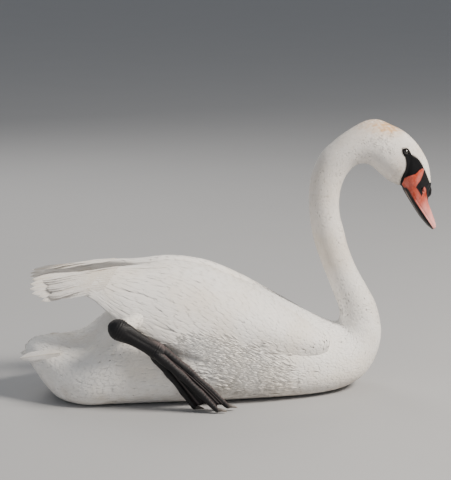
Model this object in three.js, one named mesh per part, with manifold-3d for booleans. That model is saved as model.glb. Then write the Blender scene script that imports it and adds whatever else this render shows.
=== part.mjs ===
// Mute swan, an adult female resting on her belly, life size, as a still museum model.
// Millimetres. +X is where the breast points, +Y the bird's left, +Z up; the floor is z = 0
// and the origin is the middle of the belly's resting flat, on the bird's mid plane.
import * as THREE from "three";
import { mergeVertices } from "three/addons/utils/BufferGeometryUtils.js";
import Module from "manifold-3d";

const wasm = await Module();
wasm.setup();

// ---------------------------------------------------------------- driving dimensions

const GAP = 0.35; // clearance left between neighbouring pieces
const TRUNK_AROUND = 26; // flat sides round each piece
const NECK_AROUND = 16;
const HEAD_AROUND = 20;
const BILL_AROUND = 12;

const RIGHT = -1; // sign of y on the bird's right
const LEFT = 1;
const SIDES = { right: RIGHT, left: LEFT };

// The head looks a little to the right: points above the turn move sideways with x.
const HEAD_TURN = 0.09;
const TURN_PIVOT_X = 215;
const TURN_STARTS_Z = 300;
const TURN_ENDS_Z = 430;

// Stations of the feathered body from the vent to the bill: the back's and the belly's outline
// points (x, z), the half width, the height of the widest place as a share from belly to back,
// and how square the upper and lower halves are (2 is an ellipse).
const BODY = [
  { back: [-310, 90], belly: [-308, 64], half: 18, wide: 0.5, top: 2, low: 2 }, // over the tail
  { back: [-301, 99], belly: [-302, 50], half: 42, wide: 0.5, top: 2.2, low: 2.3 },
  { back: [-281, 101], belly: [-285, 26], half: 66, wide: 0.5, top: 2.3, low: 2.6 }, // coverts
  { back: [-250, 102], belly: [-258, 2], half: 91, wide: 0.48, top: 2.3, low: 3 },
  { back: [-212, 109], belly: [-216, -8], half: 112, wide: 0.47, top: 2.3, low: 3.2 }, // rump
  { back: [-172, 138], belly: [-170, -8], half: 122, wide: 0.5, top: 2.4, low: 3.1 }, // thighs
  { back: [-120, 176], belly: [-115, -8], half: 128, wide: 0.46, top: 2.4, low: 3 },
  { back: [-60, 202], belly: [-55, -7], half: 131, wide: 0.43, top: 2.2, low: 3 },
  { back: [0, 210], belly: [10, -7], half: 130, wide: 0.42, top: 2.1, low: 3 }, // top of the back
  { back: [60, 197], belly: [75, -7], half: 124, wide: 0.42, top: 2, low: 2.9 },
  { back: [115, 172], belly: [140, -6], half: 114, wide: 0.42, top: 2, low: 2.8 }, // shoulders
  { back: [163, 146], belly: [197, -4], half: 99, wide: 0.42, top: 2, low: 2.6 },
  { back: [200, 127], belly: [243, 3], half: 82, wide: 0.44, top: 2, low: 2.4 },
  { back: [224, 117], belly: [277, 18], half: 66, wide: 0.46, top: 2, low: 2.2 }, // breast
  { back: [236, 116], belly: [299, 42], half: 53, wide: 0.48, top: 2, low: 2 },
  { back: [240, 122], belly: [311, 73], half: 44, wide: 0.5, top: 2, low: 2 }, // neck's root
  { back: [240, 134], belly: [314, 104], half: 39, wide: 0.5, top: 2, low: 2 },
  { back: [237, 147], belly: [305, 146], half: 34, wide: 0.5, top: 2, low: 2 },
  { back: [230, 165], belly: [287, 181], half: 30, wide: 0.5, top: 2, low: 2 },
  { back: [219, 193], belly: [269, 213], half: 27, wide: 0.5, top: 2, low: 2 }, // neck leans back
  { back: [204, 231], belly: [254, 249], half: 26, wide: 0.5, top: 2, low: 2 },
  { back: [192, 268], belly: [245, 282], half: 26, wide: 0.5, top: 2, low: 2 },
  { back: [185, 307], belly: [237, 313], half: 25.5, wide: 0.5, top: 2, low: 2 },
  { back: [183.5, 346], belly: [236.5, 344], half: 25.5, wide: 0.5, top: 2, low: 2 },
  { back: [188, 382], belly: [242, 368], half: 26, wide: 0.5, top: 2, low: 2 },
  { back: [203, 417], belly: [251, 385], half: 26.5, wide: 0.5, top: 2, low: 2 }, // top of the arch
  { back: [227, 441], belly: [263, 397], half: 26.5, wide: 0.5, top: 2, low: 2 },
  { back: [253, 460], belly: [277, 401], half: 27, wide: 0.5, top: 2, low: 2 },
  { back: [281, 475], belly: [291, 397], half: 28, wide: 0.46, top: 2, low: 2 }, // nape
  { back: [303, 477], belly: [308, 382], half: 29, wide: 0.44, top: 2, low: 2 },
  { back: [325, 468], belly: [321, 371], half: 29, wide: 0.42, top: 2, low: 2 }, // cheeks
  { back: [345, 458], belly: [331, 366], half: 27.5, wide: 0.4, top: 2, low: 2 },
  { back: [363, 443], belly: [337.5, 362.5], half: 25.5, wide: 0.4, top: 2, low: 2 }, // eyes
  { back: [378, 424], belly: [341.5, 360.5], half: 23.5, wide: 0.4, top: 2, low: 2 },
  { back: [389, 403], belly: [344, 359], half: 21.5, wide: 0.42, top: 2, low: 2.1 }, // lores
  { back: [393.5, 384], belly: [345.5, 358], half: 20, wide: 0.44, top: 2, low: 2.2 },
  { back: [395.5, 366], belly: [346.5, 357], half: 19, wide: 0.46, top: 2, low: 2.3 }, // bill's base
];
const HEAD_STARTS = 27.5; // station numbers where one node ends and the next begins
const NECK_UPPER_STARTS = 23;
const NECK_MIDDLE_STARTS = 19;
const NECK_BASE_STARTS = 14.5;
const BILL_BASE = BODY.length - 1;

// The bill, from its base down to the nail: ridge and chin outline points, half width.
const BILL = [
  { back: [399, 364.6], belly: [346.5, 356.6], half: 18.6, wide: 0.46, top: 2, low: 2.4 },
  { back: [393.5, 351], belly: [350.5, 349], half: 18, wide: 0.42, top: 2, low: 2.5 },
  { back: [391.5, 338.5], belly: [357, 338], half: 17, wide: 0.36, top: 2, low: 2.6 },
  { back: [392.5, 329], belly: [363.5, 327.5], half: 16.3, wide: 0.32, top: 2, low: 2.6 },
  { back: [397, 318], belly: [371.5, 315], half: 16.2, wide: 0.3, top: 2, low: 2.6 },
  { back: [401, 307], belly: [380, 303], half: 15.8, wide: 0.3, top: 2, low: 2.6 },
  { back: [404.5, 296.5], belly: [389.5, 292], half: 14, wide: 0.34, top: 2, low: 2.4 },
  { back: [406, 289], belly: [397, 285], half: 9.5, wide: 0.42, top: 2, low: 2.2 },
  { back: [403.5, 284.4], belly: [402, 283.6], half: 2, wide: 0.5, top: 2, low: 2 }, // nail
];
const GAPE = [349.5, 357]; // the mouth line's back end and its end under the nail, (x, z)
const MOUTH_END = [399.5, 284.2];
const CHIN_BLOCK = 200; // side of the block that parts the bill along the mouth line
const KNOB = { at: [387.5, 351.5], out: 10.2, half: 9, tall: 13 };
const NOSTRIL = { at: [382, 14.5, 346], long: 5.5, wide: 2.6, deep: 3.5, tilt: 74 };
const EYE = { station: 31.44, share: 0.681, radius: 6.5, sunk: 4.4 }; // share: chin to forehead

// A folded wing, front to back: x, then the upper and lower edges as (distance from the mid
// plane, z), how far the outer face bulges from the line between them, and the depth inwards.
const WING = [
  { x: 210, upper: [84, 104], lower: [91, 96], bulge: 2, deep: 6 }, // wrist
  { x: 202, upper: [74, 112], lower: [100, 82], bulge: 10, deep: 40 },
  { x: 178, upper: [62, 130], lower: [114, 70], bulge: 22, deep: 60 },
  { x: 130, upper: [48, 160], lower: [128, 66], bulge: 33, deep: 70 },
  { x: 70, upper: [34, 196], lower: [138, 70], bulge: 40, deep: 75 },
  { x: 5, upper: [20, 226], lower: [141, 85], bulge: 43, deep: 75 },
  { x: -60, upper: [14, 237], lower: [136, 107], bulge: 41, deep: 70 }, // tertials' hump
  { x: -115, upper: [18, 231], lower: [126, 132], bulge: 33, deep: 50 },
  { x: -160, upper: [30, 230], lower: [113, 152], bulge: 22, deep: 30 },
  { x: -200, upper: [38, 223], lower: [94, 177], bulge: 12, deep: 14 },
  { x: -228, upper: [46, 213], lower: [80, 192], bulge: 6, deep: 7 },
];
const WING_AROUND = 8; // steps along the outer face, and along the inner one
const WING_RINGS = [0, 0.4, 1, 2, 3, 4, 5, 6, 7, 8, 9, 10]; // station numbers

// Long feathers as root, tip and half width: points are (x, distance from the mid plane, z).
const TERTIALS = [
  { root: [-170, 46, 222], tip: [-251, 50, 208], half: 11 },
  { root: [-165, 66, 210], tip: [-246, 60, 200], half: 12 },
  { root: [-160, 84, 196], tip: [-236, 70, 195], half: 12 },
  { root: [-150, 100, 176], tip: [-222, 82, 188], half: 11 },
  { root: [-140, 110, 160], tip: [-200, 96, 175], half: 11 },
];
const PRIMARIES = [
  { root: [-205, 44, 220], tip: [-301, 38, 214], half: 10 },
  { root: [-205, 48, 215], tip: [-305, 43, 207], half: 10 },
  { root: [-205, 52, 210], tip: [-306, 49, 199], half: 10 },
  { root: [-205, 56, 206], tip: [-302, 55, 192], half: 10 },
  { root: [-205, 60, 203], tip: [-289, 60, 187], half: 9 },
  { root: [-205, 64, 200], tip: [-288, 66, 180], half: 9 }, // outermost, a little apart
];
const VANE_THICK = 3.2;
const VANE_AROUND = 4;
const VANE_SHARES = [0, 0.4, 0.76, 0.92, 1]; // places of the rings along a feather

const TAIL = {
  feathers: 9,
  root: [-236, 88], // (x, z) in the middle
  length: 90,
  outerShare: 0.84, // an outer feather's length against a middle one's
  fan: 32, // half angle, degrees
  drop: 10, // degrees below level
  arch: 0.14, // how much the sides hang
  half: 15,
  thick: 5,
};

// Legs, (x, distance from the mid plane, z): thigh inside the flank, heel joint, ball of the
// foot, then each toe's root, measured from the ball, and tip: inner, middle and outer toe.
// The right foot hangs half closed below its raised heel; the left one lies flat.
const LEGS = {
  right: {
    thigh: [-104, 96, 162],
    heel: [-157.5, 136, 145],
    ball: [-92, 147, 107],
    toes: [
      { root: [-6, -7, -9], tip: [-31, 137, 6] },
      { root: [5, -1, 4], tip: [24, 145, 9] },
      { root: [0, 7, -5], tip: [5, 156, 6] },
    ],
  },
  left: {
    thigh: [-96, 100, 52],
    heel: [-146, 122, 20],
    ball: [-62, 131, 16],
    toes: [
      { root: [0, -8, 0], tip: [50, 108, 6] },
      { root: [6, 0, 1], tip: [88, 140, 6] },
      { root: [0, 8, 0], tip: [62, 170, 6] },
    ],
  },
};
const THIGH_RADII = [22, 12];
const TARSUS = [
  { share: 0, radius: 18 }, // heel joint
  { share: 0.25, radius: 14.5 },
  { share: 0.55, radius: 12 },
  { share: 0.82, radius: 13.5 },
  { share: 1, radius: 14.5 }, // ball
];
const TOE = [
  { share: 0, radius: 9.5 },
  { share: 0.16, radius: 8 },
  { share: 0.36, radius: 8 }, // knuckle
  { share: 0.52, radius: 6.4 },
  { share: 0.7, radius: 6.8 }, // knuckle
  { share: 1, radius: 4.2 },
];
const TOE_ARCH = 3;
const WEB = { thick: 2.6, reach: 0.9, scallop: 0.12, sag: 5, steps: 4 };
const CLAW = { length: 17, radius: 3.6, droop: 3, lowest: 1.2 };
const HALLUX = { share: 0.78, length: 25, radius: 3.8 };

const COLOURS = {
  plumage: 0xf0ece2,
  flight: 0xf3f0e8,
  orange: 0xd4562a,
  black: 0x17161a,
  leg: 0x2e2a2c,
  claw: 0x4a4540,
  eye: 0x120c08,
};

// ---------------------------------------------------------------- curves and sections

const mix = (a, b, t) => a + (b - a) * t;
const smooth = (t) => {
  const u = Math.min(1, Math.max(0, t));
  return u * u * (3 - 2 * u);
};

// Catmull-Rom between b and c.
function blendFour(a, b, c, d, t) {
  const slopeB = (c - a) / 2;
  const slopeC = (d - b) / 2;
  const cubic = 2 * b - 2 * c + slopeB + slopeC;
  const square = -3 * b + 3 * c - 2 * slopeB - slopeC;
  return ((cubic * t + square) * t + slopeB) * t + b;
}

// A point given as x, distance from the mid plane and z, on one side of the bird.
const placed = ([x, out, z], side) => new THREE.Vector3(x, side * out, z);

// A value read from evenly numbered stations at any station number.
function along(stations, number, read) {
  const last = stations.length - 1;
  const i = Math.min(last - 1, Math.max(0, Math.floor(number)));
  const at = (k) => read(stations[Math.min(last, Math.max(0, k))]);
  return blendFour(at(i - 1), at(i), at(i + 1), at(i + 2), number - i);
}

// Turns the head by shearing everything above the turn sideways.
function turned(p) {
  const share = smooth((p.z - TURN_STARTS_Z) / (TURN_ENDS_Z - TURN_STARTS_Z));
  const ahead = Math.max(share, smooth((p.x - 330) / 30)) * (p.z > TURN_STARTS_Z - 30 ? 1 : 0);
  return new THREE.Vector3(p.x, p.y - HEAD_TURN * ahead * (p.x - TURN_PIVOT_X), p.z);
}

// A point of a section: a superellipse between the back and belly points, `angle` from the back
// towards the left side, moved `grow` outwards.
function sectionPoint(stations, number, angle, grow = 0) {
  const read = (key) => along(stations, number, key);
  const back = new THREE.Vector3(read((s) => s.back[0]), 0, read((s) => s.back[1]));
  const belly = new THREE.Vector3(read((s) => s.belly[0]), 0, read((s) => s.belly[1]));
  const rise = back.clone().sub(belly);
  const tall = rise.length() || 1;
  rise.normalize();
  const c = Math.cos(angle);
  const s = Math.sin(angle);
  const square = read((st) => (c >= 0 ? st.top : st.low));
  const radius = (Math.abs(c) ** square + Math.abs(s) ** square) ** (-1 / square);
  const wide = read((st) => st.wide) * tall;
  const half = Math.max(0.5, read((st) => st.half)) + grow;
  const reach = c >= 0 ? tall - wide + grow : wide + grow;
  return belly
    .addScaledVector(rise, wide + reach * c * radius)
    .add(new THREE.Vector3(0, half * s * radius, 0));
}

const ringOf = (stations, number, around, grow) =>
  Array.from({ length: around }, (_, i) =>
    sectionPoint(stations, number, (2 * Math.PI * i) / around, grow),
  );

// ---------------------------------------------------------------- closed geometry

// Joins rings of equal count into one closed surface, its ends closed on their middles.
function closedTube(rings) {
  const around = rings[0].length;
  const points = rings.flat();
  const index = [];
  for (let r = 0; r + 1 < rings.length; r++)
    for (let i = 0; i < around; i++) {
      const a = r * around + i;
      const b = r * around + ((i + 1) % around);
      index.push(a, b, a + around, b, b + around, a + around);
    }
  for (const [first, flip] of [[0, false], [(rings.length - 1) * around, true]]) {
    const middle = points.length;
    const ring = points.slice(first, first + around);
    points.push(ring.reduce((sum, p) => sum.add(p), new THREE.Vector3()).divideScalar(around));
    for (let i = 0; i < around; i++) {
      const a = first + i;
      const b = first + ((i + 1) % around);
      index.push(...(flip ? [a, b, middle] : [b, a, middle]));
    }
  }
  return new THREE.BufferGeometry().setFromPoints(points).setIndex(index);
}

// A geometry as a solid for cutting and joining, turned right side out.
function solidOf(geometry) {
  const bare = geometry.clone();
  for (const name of ["normal", "uv"]) bare.deleteAttribute(name);
  const merged = mergeVertices(bare, 1e-4);
  const vertProperties = new Float32Array(merged.attributes.position.array);
  const triVerts = new Uint32Array(merged.index.array);
  const make = () => new wasm.Manifold(new wasm.Mesh({ numProp: 3, vertProperties, triVerts }));
  const made = make();
  if (made.volume() > 0) return made;
  for (let i = 0; i < triVerts.length; i += 3)
    [triVerts[i + 1], triVerts[i + 2]] = [triVerts[i + 2], triVerts[i + 1]];
  return make();
}

function geometryOf(solid) {
  const { vertProperties, triVerts } = solid.getMesh();
  const geometry = new THREE.BufferGeometry();
  geometry.setAttribute("position", new THREE.BufferAttribute(vertProperties, 3));
  geometry.setIndex(new THREE.BufferAttribute(triVerts, 1));
  return geometry;
}

const union = (solids) => solids.reduce((sum, s) => sum.add(s));

// What is left of a solid after cutting: its largest body.
function cut(solid, ...cutters) {
  const left = cutters.reduce((rest, cutter) => rest.subtract(cutter), solid);
  return left.decompose().sort((a, b) => b.volume() - a.volume())[0];
}

// Everything is kept on or above the floor, with a flat where it touches.
const FLOOR_REACH = 1000;
const belowFloor = solidOf(
  new THREE.BoxGeometry(FLOOR_REACH, FLOOR_REACH, FLOOR_REACH).translate(0, 0, -FLOOR_REACH / 2),
);

// A round tube through points with a radius at each, closed by domed ends.
function tube(points, radii, around = 10) {
  const rings = [];
  let side = new THREE.Vector3(0, 1, 0);
  points.forEach((p, i) => {
    const before = points[Math.max(0, i - 1)];
    const after = points[Math.min(points.length - 1, i + 1)];
    const way = after.clone().sub(before).normalize();
    side = side.clone().addScaledVector(way, -side.dot(way)).normalize();
    const up = way.clone().cross(side);
    const ring = (centre, r) =>
      Array.from({ length: around }, (_, k) => {
        const a = (2 * Math.PI * k) / around;
        return centre
          .clone()
          .addScaledVector(side, r * Math.cos(a))
          .addScaledVector(up, r * Math.sin(a));
      });
    if (i === 0) rings.push(ring(p.clone().addScaledVector(way, -radii[i] * 0.7), radii[i] * 0.6));
    rings.push(ring(p, radii[i]));
    if (i === points.length - 1)
      rings.push(ring(p.clone().addScaledVector(way, radii[i] * 0.7), radii[i] * 0.6));
  });
  return closedTube(rings);
}

// ---------------------------------------------------------------- body, neck and head

const spread = (from, to, steps) =>
  Array.from({ length: steps + 1 }, (_, i) => mix(from, to, i / steps));

function bodyPiece(numbers, around, grow = 0) {
  const rings = numbers.map((number) => ringOf(BODY, number, around, grow));
  return solidOf(closedTube(rings.map((ring) => ring.map(turned))));
}

// How many station numbers make one GAP of length near a station.
function gapIn(stations, number) {
  const a = sectionPoint(stations, number, 0).add(sectionPoint(stations, number, Math.PI));
  const b = sectionPoint(stations, number - 0.1, 0).add(sectionPoint(stations, number - 0.1, Math.PI));
  return (0.1 * GAP) / (a.distanceTo(b) / 2);
}

const before = (number) => number - gapIn(BODY, number);
const trunkNumbers = spread(0, before(NECK_BASE_STARTS), 22);
const trunkCutter = bodyPiece([...trunkNumbers, NECK_BASE_STARTS + 1], TRUNK_AROUND, GAP);

// ---------------------------------------------------------------- bill, knob and eyes

const billLoft = (grow) => {
  const numbers = spread(0, BILL.length - 1, 14);
  const rings = numbers.map((number) => ringOf(BILL, number, BILL_AROUND, grow));
  return solidOf(closedTube(rings.map((ring) => ring.map(turned))));
};

// A block whose one face is the mouth plane, moved `offset` towards the ridge.
function chinBlock(offset) {
  const way = new THREE.Vector2(MOUTH_END[0] - GAPE[0], MOUTH_END[1] - GAPE[1]).normalize();
  const toRidge = new THREE.Vector3(-way.y, 0, way.x);
  const block = new THREE.BoxGeometry(CHIN_BLOCK, CHIN_BLOCK, CHIN_BLOCK);
  block.translate(-CHIN_BLOCK / 2, 0, 0);
  block.rotateY(-Math.atan2(toRidge.z, toRidge.x));
  const at = toRidge.clone().multiplyScalar(offset);
  return solidOf(block.translate(GAPE[0] + at.x, at.y, GAPE[1] + at.z));
}

function ellipsoid(centre, radii, tiltY, detail) {
  const shape = new THREE.SphereGeometry(1, ...detail).scale(...radii);
  return shape.rotateY(THREE.MathUtils.degToRad(tiltY)).translate(centre.x, centre.y, centre.z);
}

const knobSolid = (grow) => {
  const at = turned(new THREE.Vector3(KNOB.at[0], 0, KNOB.at[1]));
  const radii = [KNOB.out + grow, KNOB.half + grow, KNOB.tall + grow];
  return solidOf(ellipsoid(at, radii, 0, [14, 9]));
};

// Surface point of the head at the eye, and the eyeball's centre behind it.
function eyeCentre(side) {
  const wide = along(BODY, EYE.station, (s) => s.wide);
  const angle = Math.acos((EYE.share - wide) / (1 - wide));
  const skin = sectionPoint(BODY, EYE.station, side * angle);
  return turned(skin.add(new THREE.Vector3(0, -side * EYE.sunk, 0)));
}

const eyeSolid = (side, grow) => {
  const r = EYE.radius + grow;
  return solidOf(ellipsoid(eyeCentre(side), [r, r, r], 0, [10, 7]));
};

function nostrilCutter(side) {
  const at = turned(placed(NOSTRIL.at, side));
  return solidOf(ellipsoid(at, [NOSTRIL.long, NOSTRIL.deep, NOSTRIL.wide], NOSTRIL.tilt, [8, 6]));
}

// ---------------------------------------------------------------- wings and tail

// One long feather: a thin lens from root to tip, lying along the direction `across`.
function vane({ root, tip, half }, side, across, thick = VANE_THICK) {
  const start = placed(root, side);
  const end = placed(tip, side);
  const way = end.clone().sub(start).normalize();
  const wide = across.clone().addScaledVector(way, -across.dot(way)).normalize();
  const face = way.clone().cross(wide).normalize();
  const rings = [];
  for (const t of VANE_SHARES) {
    const roundTip = Math.sqrt(Math.max(0, 1 - Math.max(0, (t - 0.72) / 0.28) ** 2));
    const w = half * Math.max(0.12, roundTip) * mix(0.8, 1, Math.min(1, t * 3));
    const h = (thick / 2) * mix(1, 0.5, t);
    const centre = start.clone().lerp(end, t);
    rings.push(
      Array.from({ length: VANE_AROUND }, (_, k) => {
        const a = (2 * Math.PI * k) / VANE_AROUND;
        return centre
          .clone()
          .addScaledVector(wide, w * Math.cos(a))
          .addScaledVector(face, h * Math.sin(a));
      }),
    );
  }
  return solidOf(closedTube(rings));
}

// A wing's section at a station: down its outer face and back up its inner one.
function wingRing(number, side, grow) {
  const read = (key) => along(WING, number, key);
  const x = read((s) => s.x);
  const upper = new THREE.Vector2(read((s) => s.upper[0]), read((s) => s.upper[1]));
  const lower = new THREE.Vector2(read((s) => s.lower[0]), read((s) => s.lower[1]));
  const chord = lower.clone().sub(upper).normalize();
  const out = new THREE.Vector2(-chord.y, chord.x);
  upper.addScaledVector(chord, -grow);
  lower.addScaledVector(chord, grow);
  const ring = [];
  const put = (share, offset) => {
    const p = upper.clone().lerp(lower, share).addScaledVector(out, offset);
    ring.push(new THREE.Vector3(x, side * p.x, p.y));
  };
  const bulge = read((s) => s.bulge);
  const deep = read((s) => s.deep);
  for (let i = 0; i <= WING_AROUND; i++) {
    const share = i / WING_AROUND;
    put(share, (bulge + grow) * Math.sin(Math.PI * share) ** 0.75);
  }
  for (let i = WING_AROUND - 1; i > 0; i--) {
    const share = i / WING_AROUND;
    const swell = Math.sin(Math.PI * share);
    put(share, bulge * swell ** 0.75 - (deep + grow) * swell ** 0.6);
  }
  return ring;
}

const wingArm = (side, grow) =>
  solidOf(closedTube(WING_RINGS.map((number) => wingRing(number, side, grow))));

// The way across a wing's long feathers, from the upper edge down and outwards.
const bladeAcross = (side) => new THREE.Vector3(0, side * 0.62, -0.78);

function wingSolid(side, grow = 0) {
  const tertials = TERTIALS.map((f) =>
    vane({ ...f, half: f.half + grow }, side, bladeAcross(side), VANE_THICK + 2 * grow),
  );
  return union([wingArm(side, grow), ...tertials]);
}

const primariesSolid = (side) =>
  union(PRIMARIES.map((f) => vane(f, side, bladeAcross(side))));

function tailSolid() {
  const middle = (TAIL.feathers - 1) / 2;
  const drop = THREE.MathUtils.degToRad(TAIL.drop);
  const feathers = [];
  for (let i = 0; i < TAIL.feathers; i++) {
    const out = (i - middle) / middle;
    const angle = THREE.MathUtils.degToRad(TAIL.fan) * out;
    const length = TAIL.length * mix(1, TAIL.outerShare, Math.abs(out));
    const root = [TAIL.root[0], 30 * out, TAIL.root[1]];
    const reach = length * Math.cos(drop);
    const tip = [
      root[0] - reach * Math.cos(angle),
      root[1] + reach * Math.sin(angle),
      root[2] - length * Math.sin(drop) - length * TAIL.arch * out * out,
    ];
    const across = new THREE.Vector3(0, 1, -0.5 * out);
    feathers.push(vane({ root, tip, half: TAIL.half }, LEFT, across, TAIL.thick));
  }
  return union(feathers);
}

// ---------------------------------------------------------------- legs and feet

function tarsusSolid(leg, side, grow = 0) {
  const heel = placed(leg.heel, side);
  const ball = placed(leg.ball, side);
  const points = TARSUS.map(({ share }) => heel.clone().lerp(ball, share));
  const shin = solidOf(tube(points, TARSUS.map(({ radius }) => radius + grow), 10));
  const root = heel.clone().lerp(ball, HALLUX.share);
  const way = ball.clone().sub(heel).normalize();
  const hang = new THREE.Vector3(way.z, side * 0.15, -way.x).normalize();
  const tip = root.clone().addScaledVector(hang, HALLUX.length);
  tip.z = Math.max(tip.z, HALLUX.radius);
  const r = HALLUX.radius + grow;
  const hallux = tube([root, root.clone().lerp(tip, 0.6), tip], [r, r, r * 0.5], 6);
  return shin.add(solidOf(hallux));
}

function toePath(leg, side, digit) {
  const ball = placed(leg.ball, side);
  const { root, tip } = leg.toes[digit];
  const start = ball.add(placed(root, side));
  const end = placed(tip, side);
  return (t) => {
    const p = start.clone().lerp(end, t);
    p.z += TOE_ARCH * Math.sin(Math.PI * t);
    return p;
  };
}

function toeSolid(leg, side, digit, grow) {
  const path = toePath(leg, side, digit);
  const points = TOE.map(({ share }) => path(share));
  return solidOf(tube(points, TOE.map(({ radius }) => radius + grow), 6));
}

// The web between two neighbouring toes: a thin plate that sags between them.
function webSolid(leg, side, digit) {
  const first = toePath(leg, side, digit);
  const second = toePath(leg, side, digit + 1);
  const along1 = first(1).sub(first(0));
  const along2 = second(1).sub(second(0));
  const away = along1.cross(along2).normalize();
  if (away.z > 0) away.negate();
  const rings = [];
  for (let i = 0; i <= WEB.steps; i++) {
    const u = i / WEB.steps;
    const reach = WEB.reach - WEB.scallop * Math.sin(Math.PI * u);
    const face = [0.04, 0.5, 1].map((share) => {
      const t = share * reach;
      const sag = WEB.sag * Math.sin(Math.PI * u) * t;
      return first(t).lerp(second(t), u).addScaledVector(away, sag);
    });
    const top = face.map((p) => p.clone().addScaledVector(away, WEB.thick / 2));
    const under = face.map((p) => p.clone().addScaledVector(away, -WEB.thick / 2));
    rings.push([...top, ...under.reverse()]);
  }
  return solidOf(closedTube(rings));
}

function footSolid(leg, side, grow = 0) {
  const toes = leg.toes.map((_, digit) => toeSolid(leg, side, digit, grow));
  return union([...toes, webSolid(leg, side, 0), webSolid(leg, side, 1)]);
}

// A claw grows out of the toe's end and comes down to the floor.
function clawSolid(leg, side, digit) {
  const path = toePath(leg, side, digit);
  const start = path(1);
  const way = start.clone().sub(path(0.9)).setZ(0).normalize();
  const tip = start.clone().addScaledVector(way, CLAW.length);
  tip.z = Math.max(start.z - CLAW.droop, CLAW.lowest);
  const middle = start.clone().lerp(tip, 0.6);
  return solidOf(tube([start, middle, tip], [CLAW.radius, CLAW.radius * 0.7, 0.8], 6));
}

// ---------------------------------------------------------------- the assembly

const group = new THREE.Group();

function add(name, solid, colour, roughness) {
  const material = new THREE.MeshStandardMaterial({ color: colour, roughness, metalness: 0 });
  const mesh = new THREE.Mesh(geometryOf(solid), material);
  mesh.name = name;
  group.add(mesh);
}

function addFlesh(name, solid) {
  add(name, solid, COLOURS.plumage, 0.9);
}

const eyeSockets = Object.values(SIDES).map((side) => eyeSolid(side, GAP));
const neckPiece = (from, to, steps) => bodyPiece(spread(from, before(to), steps), NECK_AROUND);
addFlesh("trunk", cut(bodyPiece(trunkNumbers, TRUNK_AROUND), belowFloor));
addFlesh("neck_base", neckPiece(NECK_BASE_STARTS, NECK_MIDDLE_STARTS, 7));
addFlesh("neck_middle", neckPiece(NECK_MIDDLE_STARTS, NECK_UPPER_STARTS, 5));
addFlesh("neck_upper", neckPiece(NECK_UPPER_STARTS, HEAD_STARTS, 8));
const headNumbers = spread(HEAD_STARTS, BILL_BASE, 13);
addFlesh("head", cut(bodyPiece(headNumbers, HEAD_AROUND), ...eyeSockets, knobSolid(GAP)));
add("knob", cut(knobSolid(0), billLoft(GAP)), COLOURS.black, 0.45);
add(
  "bill_upper",
  cut(billLoft(0), chinBlock(GAP / 2), nostrilCutter(RIGHT), nostrilCutter(LEFT)),
  COLOURS.orange,
  0.4,
);
add("bill_lower", billLoft(0).intersect(chinBlock(-GAP / 2)), COLOURS.black, 0.5);
add("tail", cut(tailSolid(), trunkCutter), COLOURS.flight, 0.85);

for (const [name, side] of Object.entries(SIDES)) {
  const leg = LEGS[name];
  const body = [trunkCutter, wingSolid(side, GAP)];
  const tarsusCutter = tarsusSolid(leg, side, GAP);
  add(`eye_${name}`, eyeSolid(side, 0), COLOURS.eye, 0.1);
  addFlesh(`wing_${name}`, cut(wingSolid(side), trunkCutter));
  add(`primaries_${name}`, cut(primariesSolid(side), ...body), COLOURS.flight, 0.85);
  const thigh = tube([placed(leg.thigh, side), placed(leg.heel, side)], THIGH_RADII, 12);
  addFlesh(`thigh_${name}`, cut(solidOf(thigh), ...body, tarsusCutter, belowFloor));
  add(`tarsus_${name}`, cut(tarsusSolid(leg, side), ...body, belowFloor), COLOURS.leg, 0.6);
  const foot = cut(footSolid(leg, side), tarsusCutter, trunkCutter, belowFloor);
  add(`foot_${name}`, foot, COLOURS.leg, 0.6);
  for (const digit of leg.toes.keys()) {
    const claw = cut(clawSolid(leg, side, digit), footSolid(leg, side, GAP), belowFloor);
    add(`claw_${name}_${digit + 2}`, claw, COLOURS.claw, 0.5);
  }
}

export default group;
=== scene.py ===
"""A life-size mute swan resting on its belly: skin, feather coat, wings, tail, bill, eyes and feet."""

import logging
import math
from dataclasses import dataclass, field, replace
from enum import Enum
from typing import Any, Callable, Iterable, Protocol

import bpy
import numpy as np
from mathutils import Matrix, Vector


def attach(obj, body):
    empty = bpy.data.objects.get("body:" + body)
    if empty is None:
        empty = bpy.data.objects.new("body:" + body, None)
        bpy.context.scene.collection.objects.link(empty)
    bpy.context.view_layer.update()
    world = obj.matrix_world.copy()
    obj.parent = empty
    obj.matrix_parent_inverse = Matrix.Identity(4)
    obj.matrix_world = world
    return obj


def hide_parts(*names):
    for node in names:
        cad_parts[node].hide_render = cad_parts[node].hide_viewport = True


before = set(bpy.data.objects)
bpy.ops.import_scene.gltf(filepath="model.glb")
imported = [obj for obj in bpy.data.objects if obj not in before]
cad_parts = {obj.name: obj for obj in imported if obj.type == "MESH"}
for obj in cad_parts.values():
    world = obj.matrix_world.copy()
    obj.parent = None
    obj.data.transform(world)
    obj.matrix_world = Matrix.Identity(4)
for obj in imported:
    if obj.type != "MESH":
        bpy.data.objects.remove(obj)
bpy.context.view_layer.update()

LOG = logging.getLogger("swan")
Array = np.ndarray
Material = bpy.types.Material
Socket = bpy.types.NodeSocket
Colour = Place = tuple[float, float, float]
Random = np.random.Generator
MM = 0.001
BODY_NAME = "root"
TAU = 2 * math.pi
BAKE_MAP = "OFBake"
BAKE_PATCH = 0.003
BAKE_EDGE = 0.004  # left free round the patches
RIGHT, LEFT = -1, 1
SIDES: dict[str, int] = {"right": RIGHT, "left": LEFT}


# ---- numbers and curves


def eased(value: Any, low: float, high: float) -> Array:
    """Smooth step 3u^2 - 2u^3 of value between low and high, held at 0 and 1 outside them."""
    u = np.clip((np.asarray(value, float) - low) / (high - low), 0.0, 1.0)
    return u * u * (3 - 2 * u)


def bell(value: Any, middle: float, width: float) -> Array:
    """A bump that is 1 at the middle: e^-((value - middle) / width)^2."""
    return np.exp(-(((value - middle) / width) ** 2))


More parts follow.
